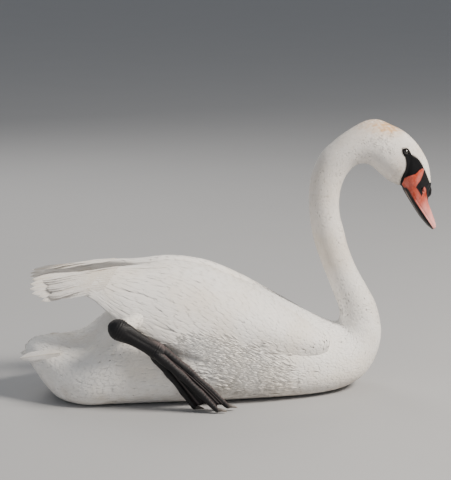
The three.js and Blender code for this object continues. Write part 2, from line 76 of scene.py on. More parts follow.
def lattice(rows: Any, columns: Any) -> tuple[Array, Array]:
    """Every pair of a row value and a column value, as two tables."""
    return tuple(np.meshgrid(rows, columns, indexing="ij"))


def turns(count: int) -> Array:
    """Evenly spaced angles of one full turn, the last short of the first."""
    return np.linspace(0, TAU, count, endpoint=False)


def along_line(start: Array, end: Array, share: Array) -> Array:
    """Places between two others: start + (end - start) share."""
    return start + (end - start) * share[:, None]


def unit(vectors: Array) -> Array:
    """Vectors divided by their own lengths."""
    return vectors / np.maximum(np.linalg.norm(vectors, axis=-1, keepdims=True), 1e-9)


def catmull(table: Array, number: Any) -> Array:
    """Catmull-Rom values of a table's rows at any row number.

    Formula: a cubic between rows b and c whose slopes are (c - a) / 2 and (d - b) / 2.

    Args:
        table: one row of values for each whole number.
        number: where to read, of any shape.

    Returns:
        The values, with one more axis than number.
    """
    number = np.asarray(number, float)
    last = len(table) - 1
    i = np.clip(np.floor(number).astype(int), 0, last - 1)
    t = (number - i)[..., None]
    a, b, c, d = (table[np.clip(i + k, 0, last)] for k in (-1, 0, 1, 2))
    slope_b, slope_c = (c - a) / 2, (d - b) / 2
    cubic = 2 * b - 2 * c + slope_b + slope_c
    square = -3 * b + 3 * c - 2 * slope_b - slope_c
    return ((cubic * t + square) * t + slope_b) * t + b


def edge_depth(x: Array, z: Array, corners: Array) -> Array:
    """Distance from a polygon's edge in side view, positive inside and negative outside.

    Formula: the least distance to any edge, signed by how often a level ray crosses the edges.
    """
    x, z = np.asarray(x, float)[..., None], np.asarray(z, float)[..., None]
    ax, az = corners[:, 0], corners[:, 1]
    bx, bz = np.roll(ax, -1), np.roll(az, -1)
    ex, ez = bx - ax, bz - az
    t = np.clip(((x - ax) * ex + (z - az) * ez) / (ex * ex + ez * ez + 1e-12), 0, 1)
    near = np.hypot(x - ax - t * ex, z - az - t * ez).min(-1)
    level = (z - az) / np.where(np.abs(ez) < 1e-9, 1e-9, ez)
    crossed = ((az > z) != (bz > z)) & (x < ax + level * ex)
    return np.where(crossed.sum(-1) % 2 == 1, near, -near)


def ripple(x: Array, y: Array, z: Array, size: float, seed: int) -> Array:
    """Soft waves between about -1 and 1 that never line up: a sum of six slanted sines."""
    rng = np.random.default_rng(seed)
    total = np.zeros(np.shape(x))
    for _ in range(6):
        way = unit(rng.normal(size=3)) * rng.uniform(0.7, 1.6) * TAU / size
        total = total + np.sin(way[0] * x + way[1] * y + way[2] * z + rng.uniform(0, TAU))
    return total / 3.0


# ---- forms


@dataclass
class Sided:
    """Something that is made once for each side of the bird."""

    side_name: str

    @property
    def side(self) -> int:
        """1 on the left and -1 on the right."""
        return SIDES[self.side_name]


class Form(Protocol):
    """A surface with a place for every number along it and angle round it."""

    def point(self, number: Any, angle: Any, grow: Any = 0.0) -> Array:
        """The surface's place, moved grow millimetres outwards."""


HEAD_TURN = 0.09
TURN_PIVOT_X = 215.0
TURN_STARTS_Z, TURN_ENDS_Z = 300.0, 430.0
FLOOR_SOFTNESS = 2.2


def turned(points: Array) -> Array:
    """Turns the head: everything above the bend is sheared sideways in proportion to its reach."""
    share = eased(points[..., 2], TURN_STARTS_Z, TURN_ENDS_Z)
    ahead = np.maximum(share, eased(points[..., 0], 330, 360)) * (points[..., 2] > TURN_STARTS_Z - 30)
    moved = points.copy()
    moved[..., 1] -= HEAD_TURN * ahead * (points[..., 0] - TURN_PIVOT_X)
    return moved


def rested(points: Array) -> Array:
    """Flattens what would sink into the floor: z becomes k ln(1 + e^(z / k))."""
    moved = points.copy()
    moved[..., 2] = FLOOR_SOFTNESS * np.logaddexp(0, points[..., 2] / FLOOR_SOFTNESS)
    return moved


@dataclass(frozen=True)
class SectionLoft:
    """Superellipse sections set between a back line and a belly line."""

    stations: Array  # back x, z; belly x, z; half width; height share of the widest place; squareness

    def point(self, number: Any, angle: Any, grow: Any = 0.0) -> Array:
        """A place at an angle from the back towards the left side.

        Formula: belly + rise (w + reach c r) + half s r sideways, with
        r = (|c|^k + |s|^k)^(-1/k), where c and s are the angle's cosine and sine.
        """
        number, angle, grow = np.broadcast_arrays(number, angle, grow)
        read = catmull(self.stations, number)
        belly = read[..., 2:4]
        rise = read[..., 0:2] - belly
        tall = np.linalg.norm(rise, axis=-1)
        rise = rise / np.maximum(tall, 1e-6)[..., None]
        c, s = np.cos(angle), np.sin(angle)
        square = np.where(c >= 0, read[..., 6], read[..., 7])
        radius = (np.abs(c) ** square + np.abs(s) ** square) ** (-1 / square)
        wide = read[..., 5] * tall
        half = np.maximum(0.5, read[..., 4]) + grow
        reach = np.where(c >= 0, tall - wide + grow, wide + grow)
        flat = belly + rise * (wide + reach * c * radius)[..., None]
        return rested(turned(np.stack([flat[..., 0], half * s * radius, flat[..., 1]], -1)))


@dataclass(frozen=True)
class WingLoft:
    """A folded wing: an outer face that bulges from the line between its edges, and an inner one."""

    stations: Array  # x; upper edge's distance from the middle and z; lower edge's; bulge; depth
    side: int

    def point(self, number: Any, angle: Any, grow: Any = 0.0) -> Array:
        """A place at angle 0..1 down the outer face and 1..2 back up the inner one.

        Formula: edge to edge by share, pushed out by bulge sin(pi share)^p, and on the inner face
        pulled back in by depth sin(pi share)^0.6; p is 0.75, and more by the lower front edge, so
        that the wing flows out of the body there.
        """
        number, angle, grow = np.broadcast_arrays(number, angle, grow)
        read = catmull(self.stations, number)
        angle = np.mod(angle, 2.0)
        outer = angle <= 1
        share = np.where(outer, angle, 2 - angle)
        upper, lower = read[..., 1:3], read[..., 3:5]
        chord = unit(lower - upper)
        out = np.stack([-chord[..., 1], chord[..., 0]], -1)
        upper, lower = upper - chord * grow[..., None], lower + chord * grow[..., None]
        swell = np.sin(np.pi * share).clip(0, 1)
        bulge, deep = read[..., 5], read[..., 6]
        power = 0.75 + 0.55 * (1 - eased(number, 3.5, 6)) * eased(share, 0.45, 0.95)
        inner = bulge * swell**power - (deep + grow) * swell**0.6
        offset = np.where(outer, (bulge + grow) * swell**power, inner)
        flat = upper + (lower - upper) * share[..., None] + out * offset[..., None]
        return rested(np.stack([read[..., 0], self.side * flat[..., 0], flat[..., 1]], -1))


@dataclass(frozen=True)
class TubeLoft:
    """A limb: round or flattened sections carried along a path."""

    knots: Array  # x, y, z, radius across, radius up
    relief: Callable[[Array, Array], Array] | None = None

    def point(self, number: Any, angle: Any, grow: Any = 0.0) -> Array:
        """A place at an angle from the path's side towards its upper side.

        Formula: path + side (a + relief) cos(angle) + up (b + relief) sin(angle).
        """
        number, angle, grow = np.broadcast_arrays(number, angle, grow)
        read = catmull(self.knots, number)
        way = unit(catmull(self.knots, number + 0.02)[..., :3] - catmull(self.knots, number - 0.02)[..., :3])
        side = np.zeros_like(way)
        side[..., 1] = 1.0
        side = unit(side - way * (side * way).sum(-1, keepdims=True))
        up = np.cross(way, side)
        up = up * np.where(up[..., 2:] < 0, -1.0, 1.0)
        extra = grow + (self.relief(number, angle) if self.relief else 0.0)
        across = (read[..., 3] + extra) * np.cos(angle)
        rise = (read[..., 4] + extra) * np.sin(angle)
        return read[..., :3] + side * across[..., None] + up * rise[..., None]


# back x, z | belly x, z | half width | share of the height where it is widest | top, low squareness
BODY_STATIONS = np.array([
    [-316, 85, -315, 70, 10, 0.5, 2, 2], [-301, 99, -302, 50, 42, 0.5, 2.2, 2.3],
    [-281, 101, -285, 26, 66, 0.5, 2.3, 2.6], [-250, 102, -258, 2, 91, 0.48, 2.3, 3],
    [-212, 109, -216, -8, 112, 0.47, 2.3, 3.2], [-172, 138, -170, -8, 122, 0.5, 2.4, 3.1],
    [-120, 176, -115, -8, 128, 0.46, 2.4, 3], [-60, 202, -55, -7, 131, 0.43, 2.2, 3],
    [0, 210, 10, -7, 130, 0.42, 2.1, 3], [60, 197, 75, -7, 124, 0.42, 2, 2.9],
    [115, 172, 140, -6, 114, 0.42, 2, 2.8], [163, 146, 197, -4, 99, 0.42, 2, 2.6],
    [200, 127, 243, 3, 82, 0.44, 2, 2.4], [224, 117, 277, 18, 66, 0.46, 2, 2.2],
    [236, 116, 299, 42, 53, 0.48, 2, 2], [240, 122, 311, 73, 44, 0.5, 2, 2],
    [240, 134, 314, 104, 39, 0.5, 2, 2], [237, 147, 305, 146, 34, 0.5, 2, 2],
    [230, 165, 287, 181, 30, 0.5, 2, 2], [219, 193, 269, 213, 27, 0.5, 2, 2],
    [204, 231, 254, 249, 26, 0.5, 2, 2], [192, 268, 245, 282, 26, 0.5, 2, 2],
    [185, 307, 237, 313, 25.5, 0.5, 2, 2], [183.5, 346, 236.5, 344, 25.5, 0.5, 2, 2],
    [188, 382, 242, 368, 26, 0.5, 2, 2], [203, 417, 251, 385, 26.5, 0.5, 2, 2],
    [227, 441, 263, 397, 26.5, 0.5, 2, 2], [253, 460, 277, 401, 27, 0.5, 2, 2],
    [281, 475, 291, 397, 28, 0.46, 2, 2], [303, 477, 308, 382, 29, 0.44, 2, 2],
    [325, 468, 321, 371, 29, 0.42, 2, 2], [345, 458, 331, 366, 27.5, 0.4, 2, 2],
    [363, 443, 337.5, 362.5, 25.5, 0.4, 2, 2], [378, 424, 341.5, 360.5, 23.5, 0.4, 2, 2],
    [389, 403, 344, 359, 21.5, 0.42, 2, 2.1], [393.5, 384, 345.5, 358, 20, 0.44, 2, 2.2],
    [395.5, 366, 346.5, 357, 19, 0.46, 2, 2.3],
])
BILL_STATIONS = np.array([
    [393.5, 351, 350.5, 349, 18, 0.42, 2, 2.5], [391.5, 338.5, 357, 338, 17, 0.36, 2, 2.6],
    [392.5, 329, 363.5, 327.5, 16.3, 0.32, 2, 2.6], [397, 318, 371.5, 315, 16.2, 0.3, 2, 2.6],
    [401, 307, 380, 303, 15.8, 0.3, 2, 2.6], [404.5, 296.5, 389.5, 292, 14, 0.34, 2, 2.4],
    [406, 289, 397, 285, 9.5, 0.42, 2, 2.2], [403.5, 284.4, 402, 283.6, 2, 0.5, 2, 2],
])
# x | upper edge: distance from the middle, z | lower edge | bulge | depth
WING_STATIONS = np.array([
    [210, 80, 104, 80, 92, 2, 6], [202, 74, 112, 83, 80, 10, 40], [178, 62, 130, 93, 68, 24, 60],
    [130, 48, 160, 108, 64, 37, 70], [70, 34, 196, 121, 68, 46, 75], [5, 20, 226, 131, 84, 48, 75],
    [-60, 14, 237, 136, 107, 41, 70], [-115, 18, 231, 126, 132, 33, 50], [-160, 30, 230, 112, 156, 22, 30],
    [-200, 38, 223, 91, 187.5, 11, 13], [-228, 46, 213, 77, 195.5, 6, 7],
])
BODY = SectionLoft(BODY_STATIONS)
WINGS = {side: WingLoft(WING_STATIONS, side) for side in (RIGHT, LEFT)}
LAST_STATION = len(BODY_STATIONS) - 1
HEAD_STATION = 29  # the bare face lies past it
FACE_STATION = 32  # the bill's own form starts from it
FACE_FROM = 330.0  # the least x and z of the bare face

# Places of the face in side view, x and z.
CHEEK_LINE = [
    (339.3, 430), (339.2, 424), (340.8, 419.5), (343.2, 416), (345.4, 412.6), (346.9, 405.5),
    (346.8, 398), (345.8, 392), (342.8, 384.8), (340.6, 377), (340, 370), (341.5, 363),
    (344, 356.5),
]
FOREHEAD_LINE = [
    (400, 363), (392.6, 366), (389.8, 372), (387.4, 377), (383.5, 385.8), (379.7, 394.6),
    (375.1, 403.4), (368.6, 411.6), (362.5, 415.6), (357.6, 418.6), (355.6, 423), (352.1, 428),
    (345, 430.5),
]
FACE = np.array(CHEEK_LINE + [(350, 340), (420, 340), (420, 362)] + FOREHEAD_LINE, float)
BILL_AREA = np.array([
    (343.4, 367), (345.3, 377), (351.4, 381), (356.2, 383), (363.2, 385), (366.7, 388),
    (370.3, 391.7), (374, 393.6), (378.5, 395), (381.5, 391), (384, 383), (388, 374), (392, 368),
    (420, 368), (420, 260), (330, 260), (340, 358),
], float)
NOSTRIL_PATCH = np.array([
    (381.5, 400), (377.5, 384), (373.4, 373.4), (368.2, 366.4), (365.7, 361.2), (370.3, 354.9),
    (374, 348.7), (376.5, 344), (378.6, 350), (378.2, 357.5), (381, 361.6), (384, 357.5),
    (385.3, 348.4), (389.1, 336.6), (392.5, 328), (420, 326), (420, 420),
], float)
GAPE = np.array([349.5, 357.0])
MOUTH_END = np.array([399.5, 284.2])
EYE_NUMBER, EYE_ANGLE = 31.44, 1.082
EYE_RADIUS, EYE_SUNK = 6.5, 4.4


# ---- meshes


@dataclass
class Solid:
    """Places in millimetres with their faces and the values kept at each place."""

    points: Array
    quads: Array = field(default_factory=lambda: np.zeros((0, 4), int))
    triangles: Array = field(default_factory=lambda: np.zeros((0, 3), int))
    marks: dict[str, Array] = field(default_factory=dict)
    patch: Array | None = None

    def marked(self, **values: Array) -> "Solid":
        """The same solid with more values at its places; a single number is spread over them all."""
        full = {k: np.broadcast_to(v, (len(self.points),) + np.shape(v)[1:]) for k, v in values.items()}
        return replace(self, marks={**self.marks, **full})

    def outward(self) -> "Solid":
        """The solid with its faces turned out: all are flipped if its signed volume is negative."""
        p = self.points
        corners = np.concatenate([self.quads[:, [0, 1, 2]], self.quads[:, [0, 2, 3]], self.triangles])
        a, b, c = (p[corners[:, k]] for k in range(3))
        if (a * np.cross(b, c)).sum() >= 0:
            return self
        return replace(self, quads=self.quads[:, ::-1].copy(), triangles=self.triangles[:, ::-1].copy())


def joined(solids: Iterable[Solid]) -> Solid:
    """One solid of several, with the values that any of them has, 0 where one has none."""
    parts = list(solids)
    starts = np.cumsum([0] + [len(s.points) for s in parts])
    names = {name: s.marks[name].shape[1:] for s in parts for name in s.marks}

    def gathered(name: str) -> Array:
        """One value of all the parts."""
        empty = [np.zeros((len(s.points),) + names[name]) for s in parts]
        return np.concatenate([s.marks.get(name, e) for s, e in zip(parts, empty)])

    patches = [np.zeros((len(s.points), 2)) if s.patch is None else s.patch for s in parts]
    return Solid(
        np.concatenate([s.points for s in parts]),
        np.concatenate([s.quads + k for s, k in zip(parts, starts)]),
        np.concatenate([s.triangles + k for s, k in zip(parts, starts)]),
        {name: gathered(name) for name in names},
        np.concatenate(patches),
    )


def closed_tube(rings: Array, marks: dict[str, Array] | None = None) -> Solid:
    """Rings of equal count joined into a closed solid, with a fan on each end.

    Args:
        rings: places as rows of rings, each ring closing on itself.
        marks: values for the same rows and places.

    Returns:
        The closed solid, its faces out.
    """
    rows, around = rings.shape[:2]
    index = np.arange(rows * around).reshape(rows, around)
    after = np.roll(index, -1, axis=1)
    quads = np.stack([index[:-1], after[:-1], after[1:], index[1:]], -1).reshape(-1, 4)
    ends = np.stack([rings[0].mean(0), rings[-1].mean(0)])
    first = np.stack([after[0], index[0], np.full(around, rows * around)], -1)
    last = np.stack([index[-1], after[-1], np.full(around, rows * around + 1)], -1)
    values = {}
    for name, value in (marks or {}).items():
        flat = value.reshape((rows * around,) + value.shape[2:])
        tips = np.stack([value[0].mean(0), value[-1].mean(0)])
        values[name] = np.concatenate([flat, tips])
    flat_points = np.concatenate([rings.reshape(-1, 3), ends])
    return Solid(flat_points, quads, np.concatenate([first, last]), values).outward()


def pillow(top: Array, under: Array) -> Solid:
    """Two grids of places that share their border, closed into one thin solid."""
    rows, columns = top.shape[:2]
    count = rows * columns
    upper = np.arange(count).reshape(rows, columns)
    lower = upper.copy()
    inside = (slice(1, -1), slice(1, -1))
    lower[inside] = count + np.arange((rows - 2) * (columns - 2)).reshape(rows - 2, columns - 2)

    def cells(index: Array) -> Array:
        """The grid's four-sided faces."""
        around = [index[:-1, :-1], index[:-1, 1:], index[1:, 1:], index[1:, :-1]]
        return np.stack(around, -1).reshape(-1, 4)

    points = np.concatenate([top.reshape(-1, 3), under[inside].reshape(-1, 3)])
    rim = np.ones(len(points))
    rim[upper[inside].ravel()] = 0
    rim[count:] = 0
    return Solid(points, np.concatenate([cells(upper), cells(lower)[:, ::-1]]), marks={"rim": rim}).outward()


def soften(mesh: bpy.types.Mesh, facing: Array) -> None:
    """Turns a feather's shading towards the body's own: normal = own (1 - share) + body share on top.

    Args:
        mesh: the mesh.
        facing: the body's normal at each place, as long as the share it takes.
    """
    own = np.zeros(len(mesh.vertices) * 3, np.float32)
    mesh.vertices.foreach_get("normal", own)
    own = own.reshape(-1, 3)
    share = np.linalg.norm(facing, axis=-1, keepdims=True)
    over = eased((own * unit(facing)).sum(-1, keepdims=True), -0.35, 0.1)
    mesh.normals_split_custom_set_from_vertices(unit(own * (1 - share * over) + facing * over).tolist())


def placed(name: str, data: Any) -> bpy.types.Object:
    """A new object at the scene's origin."""
    item = bpy.data.objects.new(name, data)
    bpy.context.scene.collection.objects.link(item)
    return item


def mesh_piece(name: str, solid: Solid, finish: Material, slot: str, *replaced: str) -> bpy.types.Object:
    """Puts a solid into a Blender mesh at its own place and gives it to the frame.

    Args:
        name: the piece's name.
        solid: places in millimetres, faces and marks; a mark named rim sharpens the edges it holds.
        finish: the material.
        slot: the record's slot the finish stands for; not used.
        replaced: the nodes that this piece stands for.

    Returns:
        The object, which rides on the root body.
    """
    mesh = bpy.data.meshes.new(name)
    mesh.vertices.add(len(solid.points))
    mesh.vertices.foreach_set("co", (solid.points * MM).astype(np.float32).ravel())
    corners = np.concatenate([solid.quads.ravel(), solid.triangles.ravel()]).astype(np.int32)
    quad_starts = np.arange(len(solid.quads)) * 4
    triangle_starts = len(solid.quads) * 4 + np.arange(len(solid.triangles)) * 3
    mesh.loops.add(len(corners))
    mesh.loops.foreach_set("vertex_index", corners)
    starts = np.concatenate([quad_starts, triangle_starts]).astype(np.int32)
    mesh.polygons.add(len(starts))
    mesh.polygons.foreach_set("loop_start", starts)
    mesh.update(calc_edges=True)
    mesh.polygons.foreach_set("use_smooth", np.ones(len(starts), bool))
    for mark, value in solid.marks.items():
        if mark in ("rim", "facing"):
            continue
        kind, key = ("FLOAT_VECTOR", "vector") if value.ndim == 2 else ("FLOAT", "value")
        layer = mesh.attributes.new(mark, kind, "POINT")
        layer.data.foreach_set(key, np.ascontiguousarray(value, np.float32).ravel())
    if "rim" in solid.marks:
        ends = np.zeros(len(mesh.edges) * 2, np.int32)
        mesh.edges.foreach_get("vertices", ends)
        held = solid.marks["rim"][ends.reshape(-1, 2)] > 0.5
        sharp = mesh.attributes.new("sharp_edge", "BOOLEAN", "EDGE")
        sharp.data.foreach_set("value", held.all(1))
    if "facing" in solid.marks:
        soften(mesh, solid.marks["facing"])
    if solid.patch is not None:
        layer = mesh.uv_layers.new(name=BAKE_MAP)
        layer.data.foreach_set("uv", solid.patch[corners].astype(np.float32).ravel())
    mesh.materials.append(finish)
    piece = placed(name, mesh)
    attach(piece, BODY_NAME)
    if replaced:
        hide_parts(*replaced)
    faces = len(solid.quads) * 2 + len(solid.triangles)
    LOG.info("%s: %d triangles", name, faces)
    return piece


# ---- feathers


@dataclass(frozen=True)
class Vane:
    """One feather's pattern: where each of its points lies along, across and through it."""

    along: Array
    across: Array
    through: Array
    wave: Array  # which of the tip's ragged ends a point belongs to, -1 for none
    solid: Solid


def vane_pattern(rows: list[float], widths: list[float], columns: list[float], round_tip: float) -> Vane:
    """A flat feather as a closed pillow.

    Formula: across = width(row) t, along = row - round_tip t^2 row^2,
    through = +-(1 - t^2) / 2 times sin(pi (0.12 + 0.8 row)).

    Args:
        rows: shares of the length.
        widths: half width at each of them.
        columns: shares t of the half width.
        round_tip: how far the edges fall back at the tip.

    Returns:
        The feather, 1 long and 2 wide.
    """
    t, row = np.meshgrid(columns, rows)
    width = np.repeat(np.array(widths)[:, None], len(columns), 1)
    along, across = row - round_tip * t**2 * row**2, width * t
    depth = (1 - t**2) * 0.5 * np.sin(np.pi * (0.12 + 0.8 * row))
    top = np.stack([along, across, depth], -1)
    solid = pillow(top, top * (1, 1, -1))
    wave = np.full(len(solid.points), -1)
    grid = len(rows) * len(columns)
    wave[:grid] = np.where(row >= rows[-2] - 1e-6, np.arange(len(columns))[None], -1).ravel()
    p = solid.points
    return Vane(p[:, 0], p[:, 1], p[:, 2], wave, solid)


def tuft_pattern() -> Vane:
    """A small pointed tuft: a flattened diamond of four points between its root and its tip."""
    points = np.array(
        [[0, 0, 0], [0.56, 1, 0], [0.6, 0, 0.5], [0.56, -1, 0], [0.6, 0, -0.5], [1, 0, 0]], float)
    k, after = np.arange(4), (np.arange(4) + 1) % 4
    root = np.stack([np.zeros(4, int), 1 + after, 1 + k], -1)
    tip = np.stack([1 + k, 1 + after, np.full(4, 5)], -1)
    solid = Solid(points, triangles=np.concatenate([root, tip]))
    return Vane(points[:, 0], points[:, 1], points[:, 2], np.full(6, -1), solid)


class FeatherKind(Enum):
    """The patterns that the coat is made of."""

    TUFT = "tuft"
    SMALL = "small"
    LARGE = "large"


PATTERNS = {
    FeatherKind.TUFT: tuft_pattern(),
    FeatherKind.SMALL: vane_pattern(
        [0, 0.34, 0.66, 0.9, 1], [0.45, 0.9, 1, 0.74, 0.3], [-1, -0.4, 0.4, 1], 0.05),
    FeatherKind.LARGE: vane_pattern(
        [0, 0.2, 0.42, 0.64, 0.82, 0.94, 1], [0.35, 0.8, 0.97, 1, 0.86, 0.54, 0.2],
        [-1, -0.5, 0, 0.5, 1], 0.04),
}


@dataclass
class Bed:
    """Feathers that are laid together: one value of each kind for every feather."""

    number: Array
    angle: Array
    length: Array
    width: Array
    yaw: Array  # turn from the flow, in radians, towards a growing angle
    lift: Array  # how far the tip stands off the true surface
    depth: Array  # how far the root lies below it
    thick: Array
    camber: Array
    point: Array  # 0 is a round tip, 1 a sharp one
    tone: Array
    soft: Array  # how much of the body's own shading a feather takes

    def __post_init__(self) -> None:
        """Spreads a plain number over every feather."""
        for name, value in vars(self).items():
            setattr(self, name, np.broadcast_to(value, self.number.shape))

    def kept(self, mask: Array) -> "Bed":
        """Only the feathers that the mask holds."""
        return Bed(**{name: value[mask] for name, value in vars(self).items()})


def bake_patches(place: Array, lie: Array) -> Array:
    """Each feather's patch of the bake map: its root's place, and its own shape round it, very small."""
    offset = np.stack([lie[..., 0] / 2, lie[..., 1] - 0.5], -1)
    return (BAKE_EDGE + (1 - 2 * BAKE_EDGE) * place[:, None] + offset * BAKE_PATCH).reshape(-1, 2)


def flock(vane: Vane, points: Array, lie: Array, facing: Array, patch: Array) -> Solid:
    """Many copies of one feather as a solid.

    Args:
        vane: the feather's pattern.
        points: the copies' places, a row for each copy.
        lie: across, along and tone at each place.
        facing: the body's normal at each place, as long as the share it takes.
        patch: places in the bake map.

    Returns:
        The solid, its faces out.
    """
    starts = (np.arange(len(points)) * points.shape[1])[:, None, None]
    quads = (vane.solid.quads[None] + starts).reshape(-1, 4)
    triangles = (vane.solid.triangles[None] + starts).reshape(-1, 3)
    marks = {"lie": lie.reshape(-1, 3), "facing": facing.reshape(-1, 3)}
    return Solid(points.reshape(-1, 3), quads, triangles, marks, patch).outward()


class Terrain:
    """A form measured along its flow, so that every feather keeps its own length on it."""

    ROWS, COLUMNS = 641, 145

    def __init__(self, form: Form, first: float, last: float, period: float, flow: int) -> None:
        """Measures the form.

        Args:
            form: the surface.
            first: lowest number that is used.
            last: highest number that is used.
            period: what the angle grows by in one turn.
            flow: the way that feathers point, 1 with the numbers and -1 against them.
        """
        self.form, self.period, self.flow = form, period, flow
        self.numbers = np.linspace(first, last, self.ROWS)
        self.angles = np.linspace(0, period, self.COLUMNS)
        grid = form.point(self.numbers[:, None], self.angles[None])
        steps = np.linalg.norm(np.diff(grid, axis=0), axis=-1)
        self.lengths = np.concatenate([np.zeros((1, self.COLUMNS)), np.cumsum(steps, 0)])
        around = np.linalg.norm(np.diff(grid, axis=1), axis=-1)
        self.turns = np.concatenate([np.zeros((self.ROWS, 1)), np.cumsum(around, 1)], 1)
        self.steps = np.gradient(self.lengths, self.numbers, axis=0)
        normal = unit(np.cross(np.gradient(grid, axis=0), np.gradient(grid, axis=1)))
        normal[:, [0, -1]] = unit(normal[:, :1] + normal[:, -1:])
        inward = (normal * (grid - grid.mean(1, keepdims=True))).sum() < 0
        self.normals = -normal if inward else normal

    def _column(self, angle: Array) -> tuple[Array, Array]:
        """The table column below an angle and how far it is past it."""
        place = np.mod(angle, self.period) / self.period * (self.COLUMNS - 1)
        column = np.minimum(place.astype(int), self.COLUMNS - 2)
        return column, place - column

    def _read(self, table: Array, number: Array, angle: Array) -> Array:
        """A table's value between its four nearest places."""
        column, share = self._column(angle)
        span = self.numbers[-1] - self.numbers[0]
        place = np.clip((number - self.numbers[0]) / span * (self.ROWS - 1), 0, self.ROWS - 1.001)
        row = place.astype(int)
        t = (place - row).reshape(np.shape(place) + (1,) * (table.ndim - 2))
        low = table[row, column] * (1 - t) + table[row + 1, column] * t
        high = table[row, column + 1] * (1 - t) + table[row + 1, column + 1] * t
        share = share.reshape(share.shape + (1,) * (table.ndim - 2))
        return low * (1 - share) + high * share

    def room(self, number: Array, angle: Array) -> Array:
        """How much of the flow line is left before a place."""
        end = np.full_like(number, self.numbers[-1] if self.flow > 0 else self.numbers[0])
        return np.abs(self._read(self.lengths, end, angle) - self._read(self.lengths, number, angle))

    def number_at(self, length: Array, angle: Array) -> Array:
        """The number that lies a length from the first row, at an angle: the lengths read backwards."""
        column, share = self._column(angle)
        bound = self.lengths.max() + 1.0
        flat = (self.lengths.T + bound * np.arange(self.COLUMNS)[:, None]).ravel()
        values = np.tile(self.numbers, self.COLUMNS)
        found = []
        for shift in (0, 1):
            reach = self.lengths[-1, column + shift]
            held = np.clip(length, 0, reach) + bound * (column + shift)
            found.append(np.interp(held, flat, values))
        return found[0] * (1 - share) + found[1] * share

    def spots(self, first: float, last: float, step: Callable[[Array], Array],
              gap: Callable[[Array], Array], rng: Random) -> tuple[Array, Array]:
        """Staggered rows of roots, evenly spaced on the surface.

        Formula: rows stand where the whole number of steps along the longest flow line is reached,
        each row holds turn / gap roots at even lengths round it, and where a flow line is shorter
        than the longest one, the same share of roots is left out.

        Args:
            first: lowest number of the area.
            last: highest number of the area.
            step: distance between rows, by number.
            gap: distance between roots in a row, by number.
            rng: source of the small irregularities.

        Returns:
            The roots' numbers and angles.
        """
        fine = np.linspace(first, last, 2001)
        pace = np.interp(fine, self.numbers, self.steps.max(1))
        count = np.concatenate([[0], np.cumsum((pace / step(fine))[1:] * np.diff(fine))])
        rows = np.interp(np.arange(0.5, count[-1]), count, fine)
        nearest = np.clip(np.searchsorted(self.numbers, rows), 0, self.ROWS - 1)
        total = self.turns[nearest, -1]
        many = np.maximum(4, np.round(total / gap(rows)).astype(int))
        row = np.repeat(np.arange(len(rows)), many)
        start = np.repeat(np.cumsum(many) - many, many)
        shift = rng.uniform(-0.22, 0.22, len(row))
        share = np.mod((np.arange(len(row)) - start + 0.5 * (row % 2) + shift) / many[row], 1.0)
        curve = self.turns[nearest] / total[:, None]
        flat = (curve + 2.0 * np.arange(len(rows))[:, None]).ravel()
        angle = np.interp(share + 2.0 * row, flat, np.tile(self.angles, len(rows)))
        local = self._read(self.steps, rows[row], angle)
        number = rows[row] + rng.uniform(-0.3, 0.3, len(row)) * step(rows[row]) / np.maximum(local, 1e-3)
        number = np.clip(number, first, last)
        longest = np.interp(rows, self.numbers, self.steps.max(1))[row]
        stays = rng.uniform(size=len(row)) < local / longest
        return number[stays], angle[stays]

    def lay(self, kind: FeatherKind, bed: Bed, rng: Random) -> Solid:
        """Lays feathers on the surface.

        Formula: a point x across and y along is turned by the yaw, x moves round the form at the
        root's scale and y along its own flow line, and its height is
        lift u^1.5 - depth (1 - u)^3 - camber v^2 + thickness.

        Args:
            kind: the feathers' pattern.
            bed: their places and sizes.
            rng: source of the ragged tips.

        Returns:
            All the feathers as one solid.
        """
        vane = PATTERNS[kind]
        count = len(bed.number)
        u, v = vane.along[None], vane.across[None]
        ragged = rng.uniform(-0.07, 0.05, (count, 16)) * (0.3 + 0.7 * bed.point[:, None])
        u = u + np.where(vane.wave >= 0, ragged[:, np.maximum(vane.wave, 0)], 0.0)
        y = bed.length[:, None] * u
        x = bed.width[:, None] / 2 * v * (1 - bed.point[:, None] * np.clip(u, 0, 1) ** 2)
        e = 0.01
        middle = self.form.point(bed.number, bed.angle)
        flow = self.form.point(bed.number + e, bed.angle) - self.form.point(bed.number - e, bed.angle)
        flow = unit(flow)
        ring = (self.form.point(bed.number, bed.angle + e) - middle) / e
        slant = (ring * flow).sum(-1)
        scale = np.maximum(np.linalg.norm(ring - slant[:, None] * flow, axis=-1), 0.5)
        cos, sin = np.cos(bed.yaw)[:, None], np.sin(bed.yaw)[:, None]
        ahead, aside = y * cos - x * sin, x * cos + y * sin
        turn = aside / scale[:, None]
        angle = bed.angle[:, None] + turn
        number = np.broadcast_to(bed.number[:, None], angle.shape)
        length = self._read(self.lengths, number, angle) + self.flow * ahead - turn * slant[:, None]
        number = self.number_at(length, angle)
        share = np.clip(u, 0, 1)
        height = bed.lift[:, None] * share**1.5 - bed.depth[:, None] * (1 - share) ** 3
        height = height - bed.camber[:, None] * v**2 + bed.thick[:, None] * vane.through[None]
        points = self.form.point(number, angle, height)
        lie = np.stack(np.broadcast_arrays(v, u, bed.tone[:, None]), -1)
        middle_length = np.interp(bed.number, self.numbers, self.lengths.mean(1)) / self.lengths[-1].mean()
        place = np.stack([np.mod(bed.angle, self.period) / self.period, middle_length], -1)
        facing = self._read(self.normals, number, angle) * bed.soft[:, None, None]
        return flock(vane, points, lie, facing, bake_patches(place, lie))


def by_number(*pairs: tuple[float, float]) -> Callable[[Array], Array]:
    """A size that changes along a form: straight lines between (number, size) pairs."""
    numbers, sizes = zip(*pairs)
    return lambda number: np.interp(number, numbers, sizes)


# ---- markings shared by skin and coat


